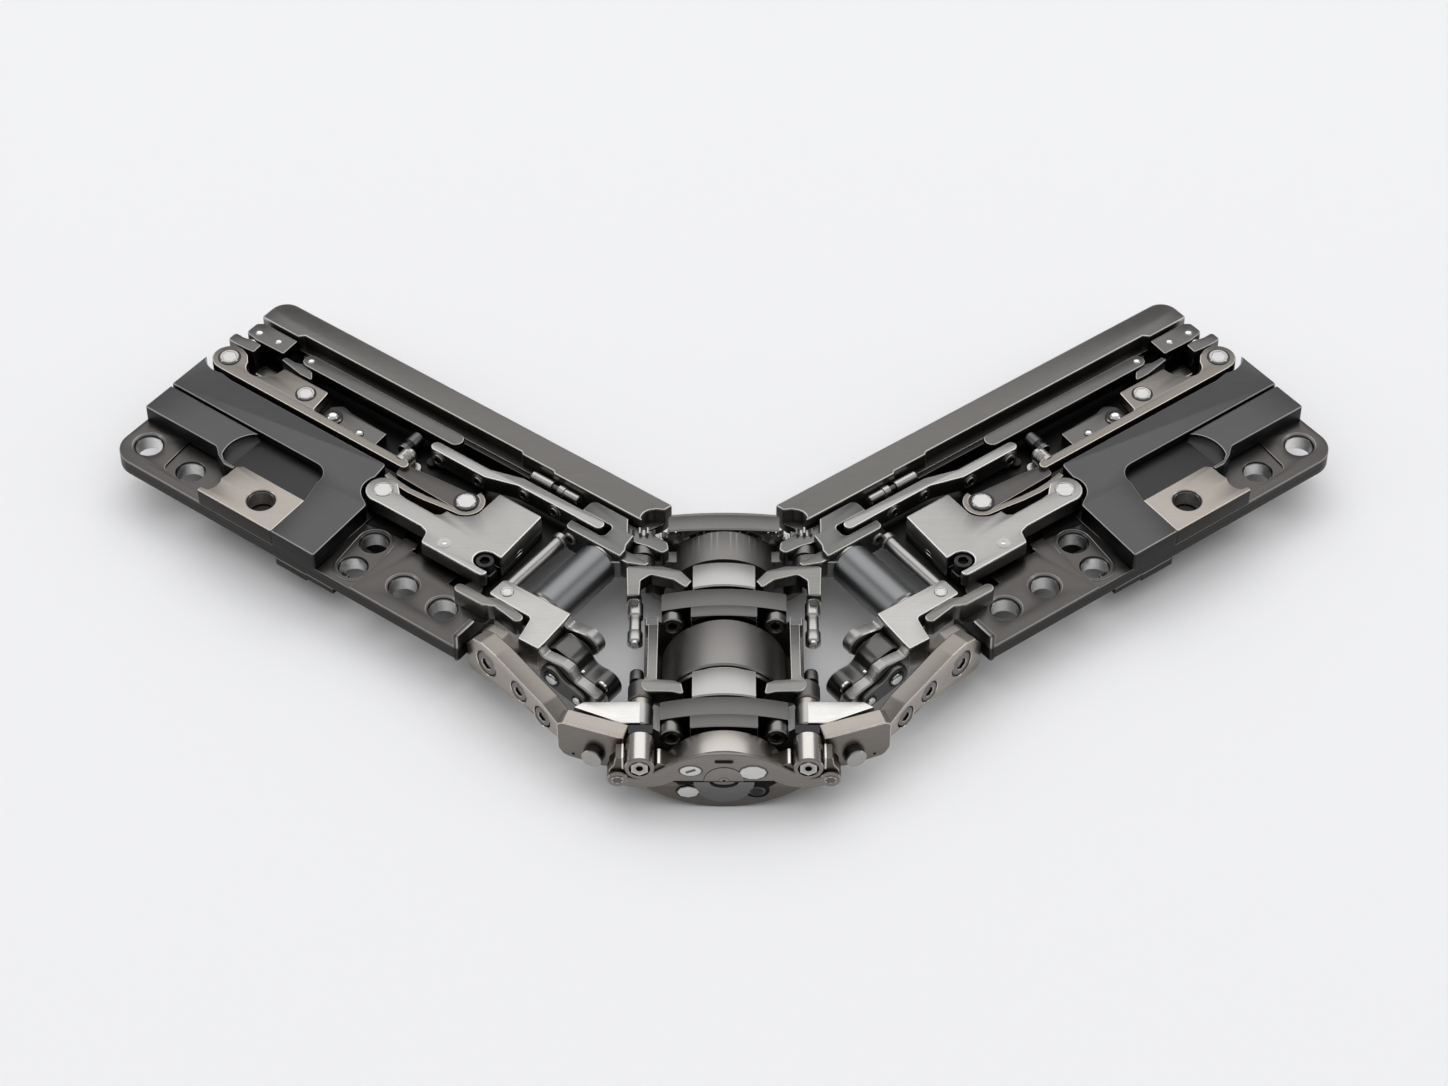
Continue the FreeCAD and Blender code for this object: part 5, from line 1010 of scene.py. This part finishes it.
def make_carriage(name, side):
    """All pieces of one carriage."""
    flat = place(side, "wing")
    wall = place(side, "wing_wall")
    spine = place(side, "spine")
    along = place(side, "spine_wall")
    arm = place(side, "arm")
    body = name + "_carriage"
    turn = side * WING_ANGLE
    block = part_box(name + "_rear_block")
    prong = turned((FOLD_X, FOLD_Z), [(0.64, 15.36, "gunmetal"), (0.7, 15.42, "edge_mid"), (0.7, 15.6, "gunmetal"),
                                      (0.7, 16.12, "gunmetal"), (0.64, 16.18, "edge_mid")], 36)
    prong_web = plate(outline([(4.7, 2.56), (6.9, 2.76), (7.0, 4.0), (4.7, 4.0)]), 15.5, 16.18, "rear_silver", "bright",
                      0.05, 0.05)
    far_prong = turned((FOLD_X, FOLD_Z), [(0.72, 17.27, "rear_silver"), (0.72, 17.57, "rear_silver")], 36)
    piece(name + "_rear_block_look", body, [(flat, s) for s in rear_block()] + [(along, prong), (along, prong_web),
                                            (along, far_prong)], name + "_rear_block", turn)
    piece(name + "_front_block_look", body, [(flat, front_block())] + [(wall, s) for s in prongs()],
          name + "_front_block", turn)
    piece(name + "_side_links_look", body, [(wall, s) for s in side_links()], name + "_side_links", turn)
    shafts, bar = cross_shafts()
    piece(name + "_cross_shafts_look", body, [(wall, s) for s in shafts] + [(flat, bar)], name + "_cross_shafts",
          turn)
    piece(name + "_front_arm_look", body, [(arm, s) for s in front_arm()] + [(toe_place(side), s) for s in toe()]
          + [(wall, spacer())],
          name + "_front_arm", turn)
    web, knuckle = gusset()
    piece(name + "_gusset_look", body, [(spine, web), (along, knuckle)], name + "_gusset", 0)
    bars, boss = t_bracket()
    piece(name + "_t_bracket_look", body, [(spine, s) for s in bars] + [(along, boss)], name + "_t_bracket", 90)
    piece(name + "_bent_bracket_look", body, [(spine, bent_bracket())], name + "_bent_bracket", 0)
    piece(name + "_drop_link_look", body, [(along, s) for s in drop_link()], name + "_drop_link", 90)
    ring = turned((FOLD_X, FOLD_Z), [(0.62, 4.5, "bronze"), (0.62, 4.95, "bronze")], 36)
    end = dome((FOLD_X + 0.25, FOLD_Z + 0.1), 0.42, 6.45, 7.35, "gunmetal")
    pins = [(along, ring), (along, end)]
    pins.append((wall, turned((12.6, 3.4), [(0.32, 3.3, "steel"), (0.36, 3.34, "polished"), (0.3, 3.46, "polished")], 28)))
    pins.append((wall, turned((9.5, 2.95), [(0.4, 0.98, "bright"), (0.4, 1.12, "bright")], 28)))
    # Black rings round these pin heads: painted shade in their gaps.
    for p, z, r in ((12.16, 2.95, 0.56), (10.35, 2.3, 0.38)):
        pins.append((wall, facing_front(turned((p, z), [(r, -0.3, "edge_bright"), (r, 0.2, "edge_bright"),
                                                        (r * 0.86, 0.22, "black"), (r * 0.7, 0.2, "black"),
                                                        (r * 0.62, 0.26, "polished"), (r * 0.4, 0.28, "polished")], 32))))
    pins.append((wall, facing_front(dome((10.9, 3.2), 0.13, -1.2, -0.98, "polished"))))
    pins.append((flat, rivet((17.55, 2.55), 0.4, BLOCK_TOP - 0.3, BLOCK_TOP + 0.05, dimple=0.62)))
    leg = (5.2, 3.42)
    pins.append((along, facing_front(screw(leg, 0.44, -13.2, -12.62, "bright", "star", 0.5, 0.15))))
    pins.append((along, facing_front(screw((5.12, 3.3), 0.3, -9.6, -9.42, "bright", "star", 0.5, 0.1))))
    piece(name + "_carriage_pins_look", body, pins, name + "_carriage_pins", turn)


# Spine

def arch_line(half, middle, edge, low, steps=16):
    """Outline in XZ under a shallow arch: a circle through the middle and both edges, flat below."""
    rise = middle - edge
    radius = (half ** 2 + rise ** 2) / (2 * rise)
    reach = math.degrees(math.asin(half / radius))
    top = arc((0, middle - radius), radius, 90 - reach, 90 + reach, steps)
    return np.concatenate([top, [[-half, low], [half, low]]])


DRUM_R = 3.6
DRUM_Z = 0.9
SHELL_R = (4.6 ** 2 + 1.8 ** 2) / (2 * 1.8)
SEAM_Z = 2.31


def drum_line(radius, shell=0.4, steps=36):
    """Round above, and below where it meets the inside of the curved shell."""
    big = SHELL_R - shell
    gap = SHELL_R - DRUM_Z
    z = (big ** 2 - radius ** 2 - SHELL_R ** 2 + DRUM_Z ** 2) / (2 * (DRUM_Z - SHELL_R))
    half = math.sqrt(max(0.01, radius ** 2 - (z - DRUM_Z) ** 2))
    start = math.degrees(math.atan2(z - DRUM_Z, half))
    top = arc((0, DRUM_Z), radius, start, 180 - start, steps)
    lower = math.degrees(math.atan2(z - SHELL_R, half))
    bottom = arc((0, SHELL_R), big, -180 - lower, lower, 14)[1:-1]
    return np.concatenate([top, bottom])


def collar(front, back):
    """Arched collar: full width behind, and a narrow tongue in front between the two rollers."""
    split = back - 1.35
    half, rise = 3.6, 0.48
    bend = (half ** 2 + rise ** 2) / (2 * rise)
    tongue_edge = 4.5 - bend + math.sqrt(bend ** 2 - 1.9 ** 2)
    # The front faces are painted black and the waist inside near black: painted shade.
    wide = plate(arch_line(half, 4.5, 4.5 - rise, 2.45), split, back, "collar_dark", "edge_mid", 0.06, 0.01,
                 base_metal="black")
    tongue = plate(arch_line(1.9, 4.5, tongue_edge, 2.45), front, split + 0.02, "collar_dark", "edge_bright", 0.01, 0.05,
                   base_metal="black")
    waist = plate(drum_line(3.0), front, back, "cavity", "cavity", 0.03, 0.03)
    return [wide, tongue, waist]


def drum(front, back, metal_name, rim, radius=DRUM_R):
    """Disc of the spine with bevelled edges."""
    # The front face is painted black: painted shade.
    return plate(drum_line(radius), front, back, metal_name, rim, 0.1, 0.1, base_metal="black")


def end_cap():
    """Front cap: an arched disc over the seam, and a face whose wings cradle the bushes and end in round tips."""
    start = math.degrees(math.asin((SEAM_Z - DRUM_Z) / DRUM_R))
    top = arc((0, DRUM_Z), DRUM_R, start, 180 - start, 40)
    shapes = [plate(top, 0.2, 1.88, "cap_drum", "cap_rim", 0.07, 0.1, base_metal="cap_bronze")]
    rise = smooth([(5.7, 2.62), (5.3, 2.5), (4.75, 2.42), (4.17, 2.8), (3.72, 3.08), (3.35, 3.34), (2.83, 3.68), (2.38, 3.92),
                   (1.26, 4.34), (0, 4.47)])
    under = smooth([(2.5, SEAM_Z - 0.12), (2.95, 2.12), (3.5, 1.84), (4.2, 1.7), (4.9, 1.68), (5.7, 1.84)])
    half = np.concatenate([under, rise])
    other = half[::-1][1:] * (-1, 1)
    face = np.concatenate([half, other])
    shapes.append(plate(face, 0.04, 0.25, "cap_bronze", "cap_rim", 0.02, 0.05, base_metal="cap_bronze"))
    for side in (-1, 1):
        # Tips, cheeks and beds show the cap's bronze on their fronts and a darker copy on their walls: painted shade.
        tip = circle((side * 5.94, 2.33), 0.6, 40)
        shapes.append(plate(tip, 0.07, 1.2, "cap_side_painted_shade", "cap_rim", 0.05, 0.05, base_metal="cap_bronze"))
        cheek = outline([(side * 5.4, 1.95), (side * 6.4, 2.0), (side * 6.42, 2.9, 0.3), (side * 6.15, 3.3, 0.1),
                         (side * 6.05, 3.9, 0.05), (side * 5.62, 3.9, 0.05), (side * 5.62, 2.6)])
        shapes.append(plate(cheek, 0.3, 1.35, "cap_side_painted_shade", "cap_rim", 0.05, 0.05, side="cap_side_painted_shade"))
        # A thin bright strip on the cheek's edge: a painted highlight.
        strip = outline([(side * 5.6, 3.0), (side * 5.7, 3.0), (side * 5.7, 3.93), (side * 5.6, 3.93)])
        shapes.append(plate(strip, 0.28, 1.34, "bright", "bright", 0.01))
        bed = outline([(side * 2.4, 2.35), (side * 5.3, 1.95), (side * 5.55, 2.5), (side * 3.95, 3.1),
                       (side * 3.72, 3.5, 0.05), (side * 3.5, 3.5, 0.05), (side * 2.8, 3.1)])
        shapes.append(plate(bed, 0.2, 1.35, "cap_side_painted_shade", "cap_rim", 0.04, 0.04, side="cap_side_painted_shade"))
        # A thin bright strip on the bed's edge: a painted highlight.
        inner = outline([(side * 3.56, 3.3), (side * 3.7, 3.3), (side * 3.7, 3.53), (side * 3.56, 3.53)])
        shapes.append(plate(inner, 0.25, 1.34, "bright", "bright", 0.01))
    return shapes


def cap_face():
    """Details on the cap's front: half bosses round the shaft, the seam, and the face below it."""
    lower = arc((0, SHELL_R), SHELL_R, -90 - 42, -90 + 42, 30)
    face = np.concatenate([lower, smooth([(4.5, 1.86), (3.5, 1.95), (2.9, SEAM_Z - 0.1)]),
                           smooth([(-2.9, SEAM_Z - 0.1), (-3.5, 1.95), (-4.5, 1.86)])])
    shapes = [facing_front(plate(face, -0.6, -0.12, "shell_bronze", "cap_rim", 0.04))]
    for radius, top, metal_name, flat in ((1.7, -0.025, "face_steel", 1), (0.84, -0.018, "socket", 0.6),
                                          (0.6, -0.012, "cap_bronze", 0.36)):
        half = arc((0, 0), radius, 180, 360, 30) * (1, flat) + (0, SEAM_Z - 0.1)
        shapes.append(facing_front(plate(half, -0.3, top, metal_name, "edge_dark", 0.01)))
    seam = outline([(-2.85, SEAM_Z - 0.12), (2.85, SEAM_Z - 0.12), (2.85, SEAM_Z - 0.05), (-2.85, SEAM_Z - 0.05)])
    shapes.append(facing_front(plate(seam, -0.3, -0.015, "socket", edge=0.005)))
    for radius, top, metal_name in ((1.15, -0.022, "black"), (1.12, -0.018, "cap_bronze"), (0.32, -0.014, "black"),
                                    (0.3, -0.01, "cap_bronze")):
        half = arc((0, SEAM_Z - 0.05), radius, 0, 180, 30)
        shapes.append(facing_front(plate(half, -0.3, top, metal_name, metal_name, 0.005)))
    shapes.append(facing_front(plate(circle((0, SEAM_Z + 0.02), 0.08, 16), -0.2, -0.008, "socket", edge=0.01)))
    return shapes


def cap_bolts():
    """Bolt heads round the shaft: a slotted one, a flat one, an octagonal one and a dark one in a recess."""
    def head(centre, radius, top, sides, flat=0.72):
        # Each head sits in a black ring: painted shade in the gap.
        return facing_front(lying(centre, turned(centre, [
            (radius * 1.1, -0.2, "black"), (radius * 1.1, -0.033, "black"), (radius * 1.02, -0.033, "black"),
            (radius, top - 0.06, "steel"), (radius * 0.93, top, "rivet_rim"), (radius * 0.8, top, "bolt_face")], sides),
            flat))

    slot_turn = np.radians(24)
    spin = np.array([[math.cos(slot_turn), math.sin(slot_turn)], [-math.sin(slot_turn), math.cos(slot_turn)]])
    bar = outline([(-0.3, -0.09), (0.3, -0.09), (0.3, 0.09), (-0.3, 0.09)])
    bolts = [head((-1.86, 3.12), 0.62, -0.006, 40, 0.66),
             facing_front(plate(bar @ spin + (-1.86, 3.12), -0.05, -0.001, "gunmetal", "black", 0.01)),
             head((1.62, 2.97), 0.78, 0.0, 10), head((-2.0, 1.36), 0.64, 0.0, 8),
             facing_front(lying((1.85, 1.42), turned((1.85, 1.42), [
                 (0.7, -0.14, "socket"), (0.7, -0.06, "socket"), (0.5, -0.07, "socket"), (0.46, -0.03, "black"),
                 (0.38, -0.002, "gunmetal"), (0.2, -0.02, "black", "star")], 36), 0.8))]
    # The recesses round the lower bolts and the slot are painted near black: painted shade.
    pocket = outline([(-2.75, 2.19), (-1.5, 2.19), (-1.55, 1.95, 0.1), (-2.55, 1.9, 0.2)])
    bolts.append(facing_front(plate(pocket, -0.2, -0.06, "socket", "black", 0.01)))
    side = outline([(1.45, 2.19), (3.1, 2.19), (2.6, 1.8, 0.3), (2.1, 1.35, 0.2), (1.3, 1.6, 0.2)])
    bolts.append(facing_front(plate(side, -0.2, -0.06, "socket", "black", 0.01)))
    slot = capsule((-0.4, 3.88), (0.4, 3.88), 0.14)
    bolts.append(facing_front(plate(slot, -0.12, -0.012, "socket", "gunmetal", 0.02)))
    bolts.append(facing_front(turned((0.05, 3.86), [(0.1, -0.12, "black"), (0.1, -0.02, "black"),
                                                    (0.06, -0.015, "gunmetal")], 16)))
    return bolts


def make_spine():
    """All pieces of the spine."""
    wall = place(1, "spine_wall")
    flat = place(1, "spine")
    piece("end_cap_look", "spine", [(wall, s) for s in end_cap()], "end_cap")
    piece("cap_bolts_look", "spine", [(wall, s) for s in cap_bolts() + cap_face()], None)
    piece("front_collar_look", "spine", [(wall, s) for s in collar(2.15, 4.4)], "front_collar")
    piece("rear_collar_look", "spine", [(wall, s) for s in collar(10.76, 12.87)], "rear_collar")
    # The saddles' front faces are a darker metal than their tops: painted shade.
    saddles = [plate(arch_line(1.8, 4.5, 4.23, 1.2), a, b, "saddle_steel", "bright", 0.08, 0.08, base_metal="gunmetal")
               for a, b in ((4.58, 6.61), (13.15, 15.02))]
    piece("saddles_look", "spine", [(wall, s) for s in saddles], "saddles", 90)
    piece("main_barrel_look", "spine", [(wall, drum(6.89, 10.39, "drum_dark", "edge_bright")),
                                        (wall, drum(6.65, 6.89, "steel", "bright", 3.45)),
                                        (wall, drum(10.39, 10.6, "steel", "bright", 3.45))], "main_barrel")
    piece("rear_drum_look", "spine", [(wall, drum(15.35, 17.6, "graphite", "edge_bright"))], None)
    # The bridge's front face is a darker metal than its top: painted shade.
    bridge = [plate(arch_line(3.25, 4.52, 4.34, 2.6), 17.72, 18.95, "bridge_dark", "edge_bright", 0.08, 0.08,
                    base_metal="gunmetal")]
    piece("bridge_plate_look", "spine", [(wall, s) for s in bridge], None)
    rollers = []
    for span in ((2.15, 4.4), (10.76, 12.87)):
        for x in (-2.95, 2.95):
            front = -(span[0] + 0.02)
            rollers.append(facing_front(turned((x, 3.46), [
                (0.6, front - 1.05, "link_silver"), (0.6, front - 0.62, "link_silver"), (0.66, front - 0.56, "edge_mid"),
                (0.66, front - 0.5, "link_silver"), (0.66, front - 0.07, "link_silver"), (0.6, front, "edge_mid"),
                (0.5, front, "gunmetal"), (0.46, front - 0.05, "gunmetal"), (0.26, front - 0.05, "edge_mid", "hex"),
                (0.22, front - 0.12, "socket", "hex"), (0.05, front - 0.12, "socket")], 36)))
    piece("collar_rollers_look", "spine", [(wall, s) for s in rollers], "collar_rollers")
    bushes = []
    pin_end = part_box("fold_bushes")[1].y / MM - FRONT_Y
    for x in (-FOLD_X, FOLD_X):
        bushes.append(turned((x, FOLD_Z), [(0.36, 2.1, "steel"), (0.36, pin_end, "steel")], 32))
        # A black ring round the bolt, painted shade in its gap, and a socket painted near black, painted shade.
        bushes.append(facing_front(turned((x, FOLD_Z), [
            (0.8, -2.1, "bush_steel"), (0.85, -2.05, "bush_steel"), (0.85, -0.09, "bush_steel"), (0.8, -0.03, "cap_rim"),
            (0.6, -0.03, "cap_bronze"), (0.58, -0.3, "black"), (0.5, -0.3, "black"), (0.5, -0.07, "steel", "hex"),
            (0.46, -0.02, "rivet_rim", "hex"), (0.34, -0.02, "rivet", "hex"), (0.24, -0.03, "edge_bright"),
            (0.2, -0.05, "steel"), (0.16, -0.2, "socket", "hex"), (0.02, -0.2, "socket")], 48)))
    piece("fold_bushes_look", "spine", [(wall, s) for s in bushes], "fold_bushes")
    ears = []
    for side in (-1, 1):
        at = (side * 5.95, 2.35)
        # Each screw sits in a black ring: painted shade in the gap.
        ears.append(facing_front(lying(at, turned(at, [
            (0.44, -0.3, "black"), (0.44, -0.07, "black"), (0.4, -0.06, "gunmetal"), (0.36, -0.03, "gunmetal"),
            (0.3, -0.02, "rivet", "star"), (0.16, -0.02, "gunmetal", "star")], 36), 0.8)))
    piece("ear_screws_look", "spine", [(wall, s) for s in ears], None)


# Materials of the CAD nodes that stay
NODE_FINISH = {
    "end_cap": "bronze", "spine_cover": "shell_bronze", "rear_drum": "graphite", "centre_shaft": "cap_bronze",
    "bridge_plate": "bridge_dark", "fold_bushes": "steel", "friction_blocks": "black",
}


def finish_nodes():
    """Gives every CAD node the metal of its piece."""
    for name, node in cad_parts.items():
        finish = NODE_FINISH.get(name, "steel")
        for slot in node.material_slots:
            slot.material = metal(finish, **FINISHES[finish])
        if not node.material_slots:
            node.data.materials.append(metal(finish, **FINISHES[finish]))


# Stage

def paper(name, shade, seen):
    """Plain floor. The camera and mirrors see one shade of it, and light bounces off another."""
    mat = bpy.data.materials.new(name)
    mat.use_nodes = True
    tree = mat.node_tree
    nodes, links = tree.nodes, tree.links
    shader = nodes["Principled BSDF"]
    shader.inputs["Roughness"].default_value = 0.9
    shader.inputs["Specular IOR Level"].default_value = 0.1
    path = nodes.new("ShaderNodeLightPath")
    either = nodes.new("ShaderNodeMath")
    either.operation = "ADD"
    either.use_clamp = True
    links.new(path.outputs["Is Camera Ray"], either.inputs[0])
    links.new(path.outputs["Is Glossy Ray"], either.inputs[1])
    through = nodes.new("ShaderNodeMath")
    through.operation = "ADD"
    through.use_clamp = True
    links.new(either.outputs[0], through.inputs[0])
    links.new(path.outputs["Is Transmission Ray"], through.inputs[1])
    mix = nodes.new("ShaderNodeMix")
    mix.data_type = "RGBA"
    mix.inputs["A"].default_value = (*shade, 1)
    mix.inputs["B"].default_value = (*seen, 1)
    links.new(through.outputs[0], mix.inputs["Factor"])
    links.new(mix.outputs["Result"], shader.inputs["Base Color"])
    return mat


def make_floor():
    """Large pale floor."""
    mesh = bpy.data.meshes.new("floor")
    size = 3.0
    mesh.from_pydata([(-size, -size, 0), (size, -size, 0), (size, size, 0), (-size, size, 0)], [], [(0, 1, 2, 3)])
    mesh.materials.append(paper("floor_paper", (0.62, 0.62, 0.625), (0.77, 0.77, 0.778)))
    obj = bpy.data.objects.new("floor", mesh)
    bpy.context.scene.collection.objects.link(obj)


def lamp(name, at, target, size, power, colour=(1, 1, 1)):
    """Soft rectangular lamp."""
    data = bpy.data.lights.new(name, "AREA")
    data.shape = "RECTANGLE"
    data.size, data.size_y = size
    data.energy = power
    data.color = colour
    obj = bpy.data.objects.new(name, data)
    obj.location = at
    obj.rotation_euler = (Vector(target) - Vector(at)).to_track_quat("-Z", "Y").to_euler()
    bpy.context.scene.collection.objects.link(obj)
    return obj


def make_light():
    """Broad light overhead and behind, low fill from the sides, and a world that is bright above and dim
    towards the horizon."""
    world = bpy.data.worlds.new("studio")
    bpy.context.scene.world = world
    world.use_nodes = True
    tree = world.node_tree
    back = tree.nodes["Background"]
    view = tree.nodes.new("ShaderNodeTexCoord")
    split = tree.nodes.new("ShaderNodeSeparateXYZ")
    fade = tree.nodes.new("ShaderNodeMapRange")
    fade.inputs["From Min"].default_value = 0.1
    fade.inputs["From Max"].default_value = 0.9
    fade.inputs["To Min"].default_value = 0.2
    fade.inputs["To Max"].default_value = 0.5
    tree.links.new(view.outputs["Generated"], split.inputs["Vector"])
    tree.links.new(split.outputs["Z"], fade.inputs["Value"])
    tree.links.new(fade.outputs["Result"], back.inputs["Strength"])
    back.inputs["Color"].default_value = (0.98, 0.985, 1.0, 1)
    lamp("overhead", (0.0, 0.56, 0.75), (0, 0, 0), (1.1, 0.85), 3.3)
    fill = lamp("floor_fill", (0.0, -0.1, 1.3), (0, 0, 0), (2.4, 2.4), 16.0)
    fill.visible_glossy = False
    lamp("left_strip", (-0.45, 0.0, 0.24), (0, 0, 0), (0.1, 0.4), 0.2)
    lamp("right_strip", (0.45, 0.0, 0.24), (0, 0, 0), (0.1, 0.4), 0.2)


def make_camera():
    """Camera of the photograph: 45 degrees down, from the front."""
    data = bpy.data.cameras.new("camera")
    data.sensor_width = 36.0
    data.lens = 99.45
    data.clip_start = 0.005
    obj = bpy.data.objects.new("camera", data)
    obj.location = (0, -0.16704, 0.16938)
    obj.rotation_euler = (math.radians(45), 0, 0)
    bpy.context.scene.collection.objects.link(obj)
    bpy.context.scene.camera = obj


make_camera()
make_floor()
make_light()
finish_nodes()
for side_name, side_sign in SIDES.items():
    make_wing(side_name, side_sign)
    make_carriage(side_name, side_sign)
make_spine()

scene = bpy.context.scene
scene.view_settings.view_transform = "Standard"
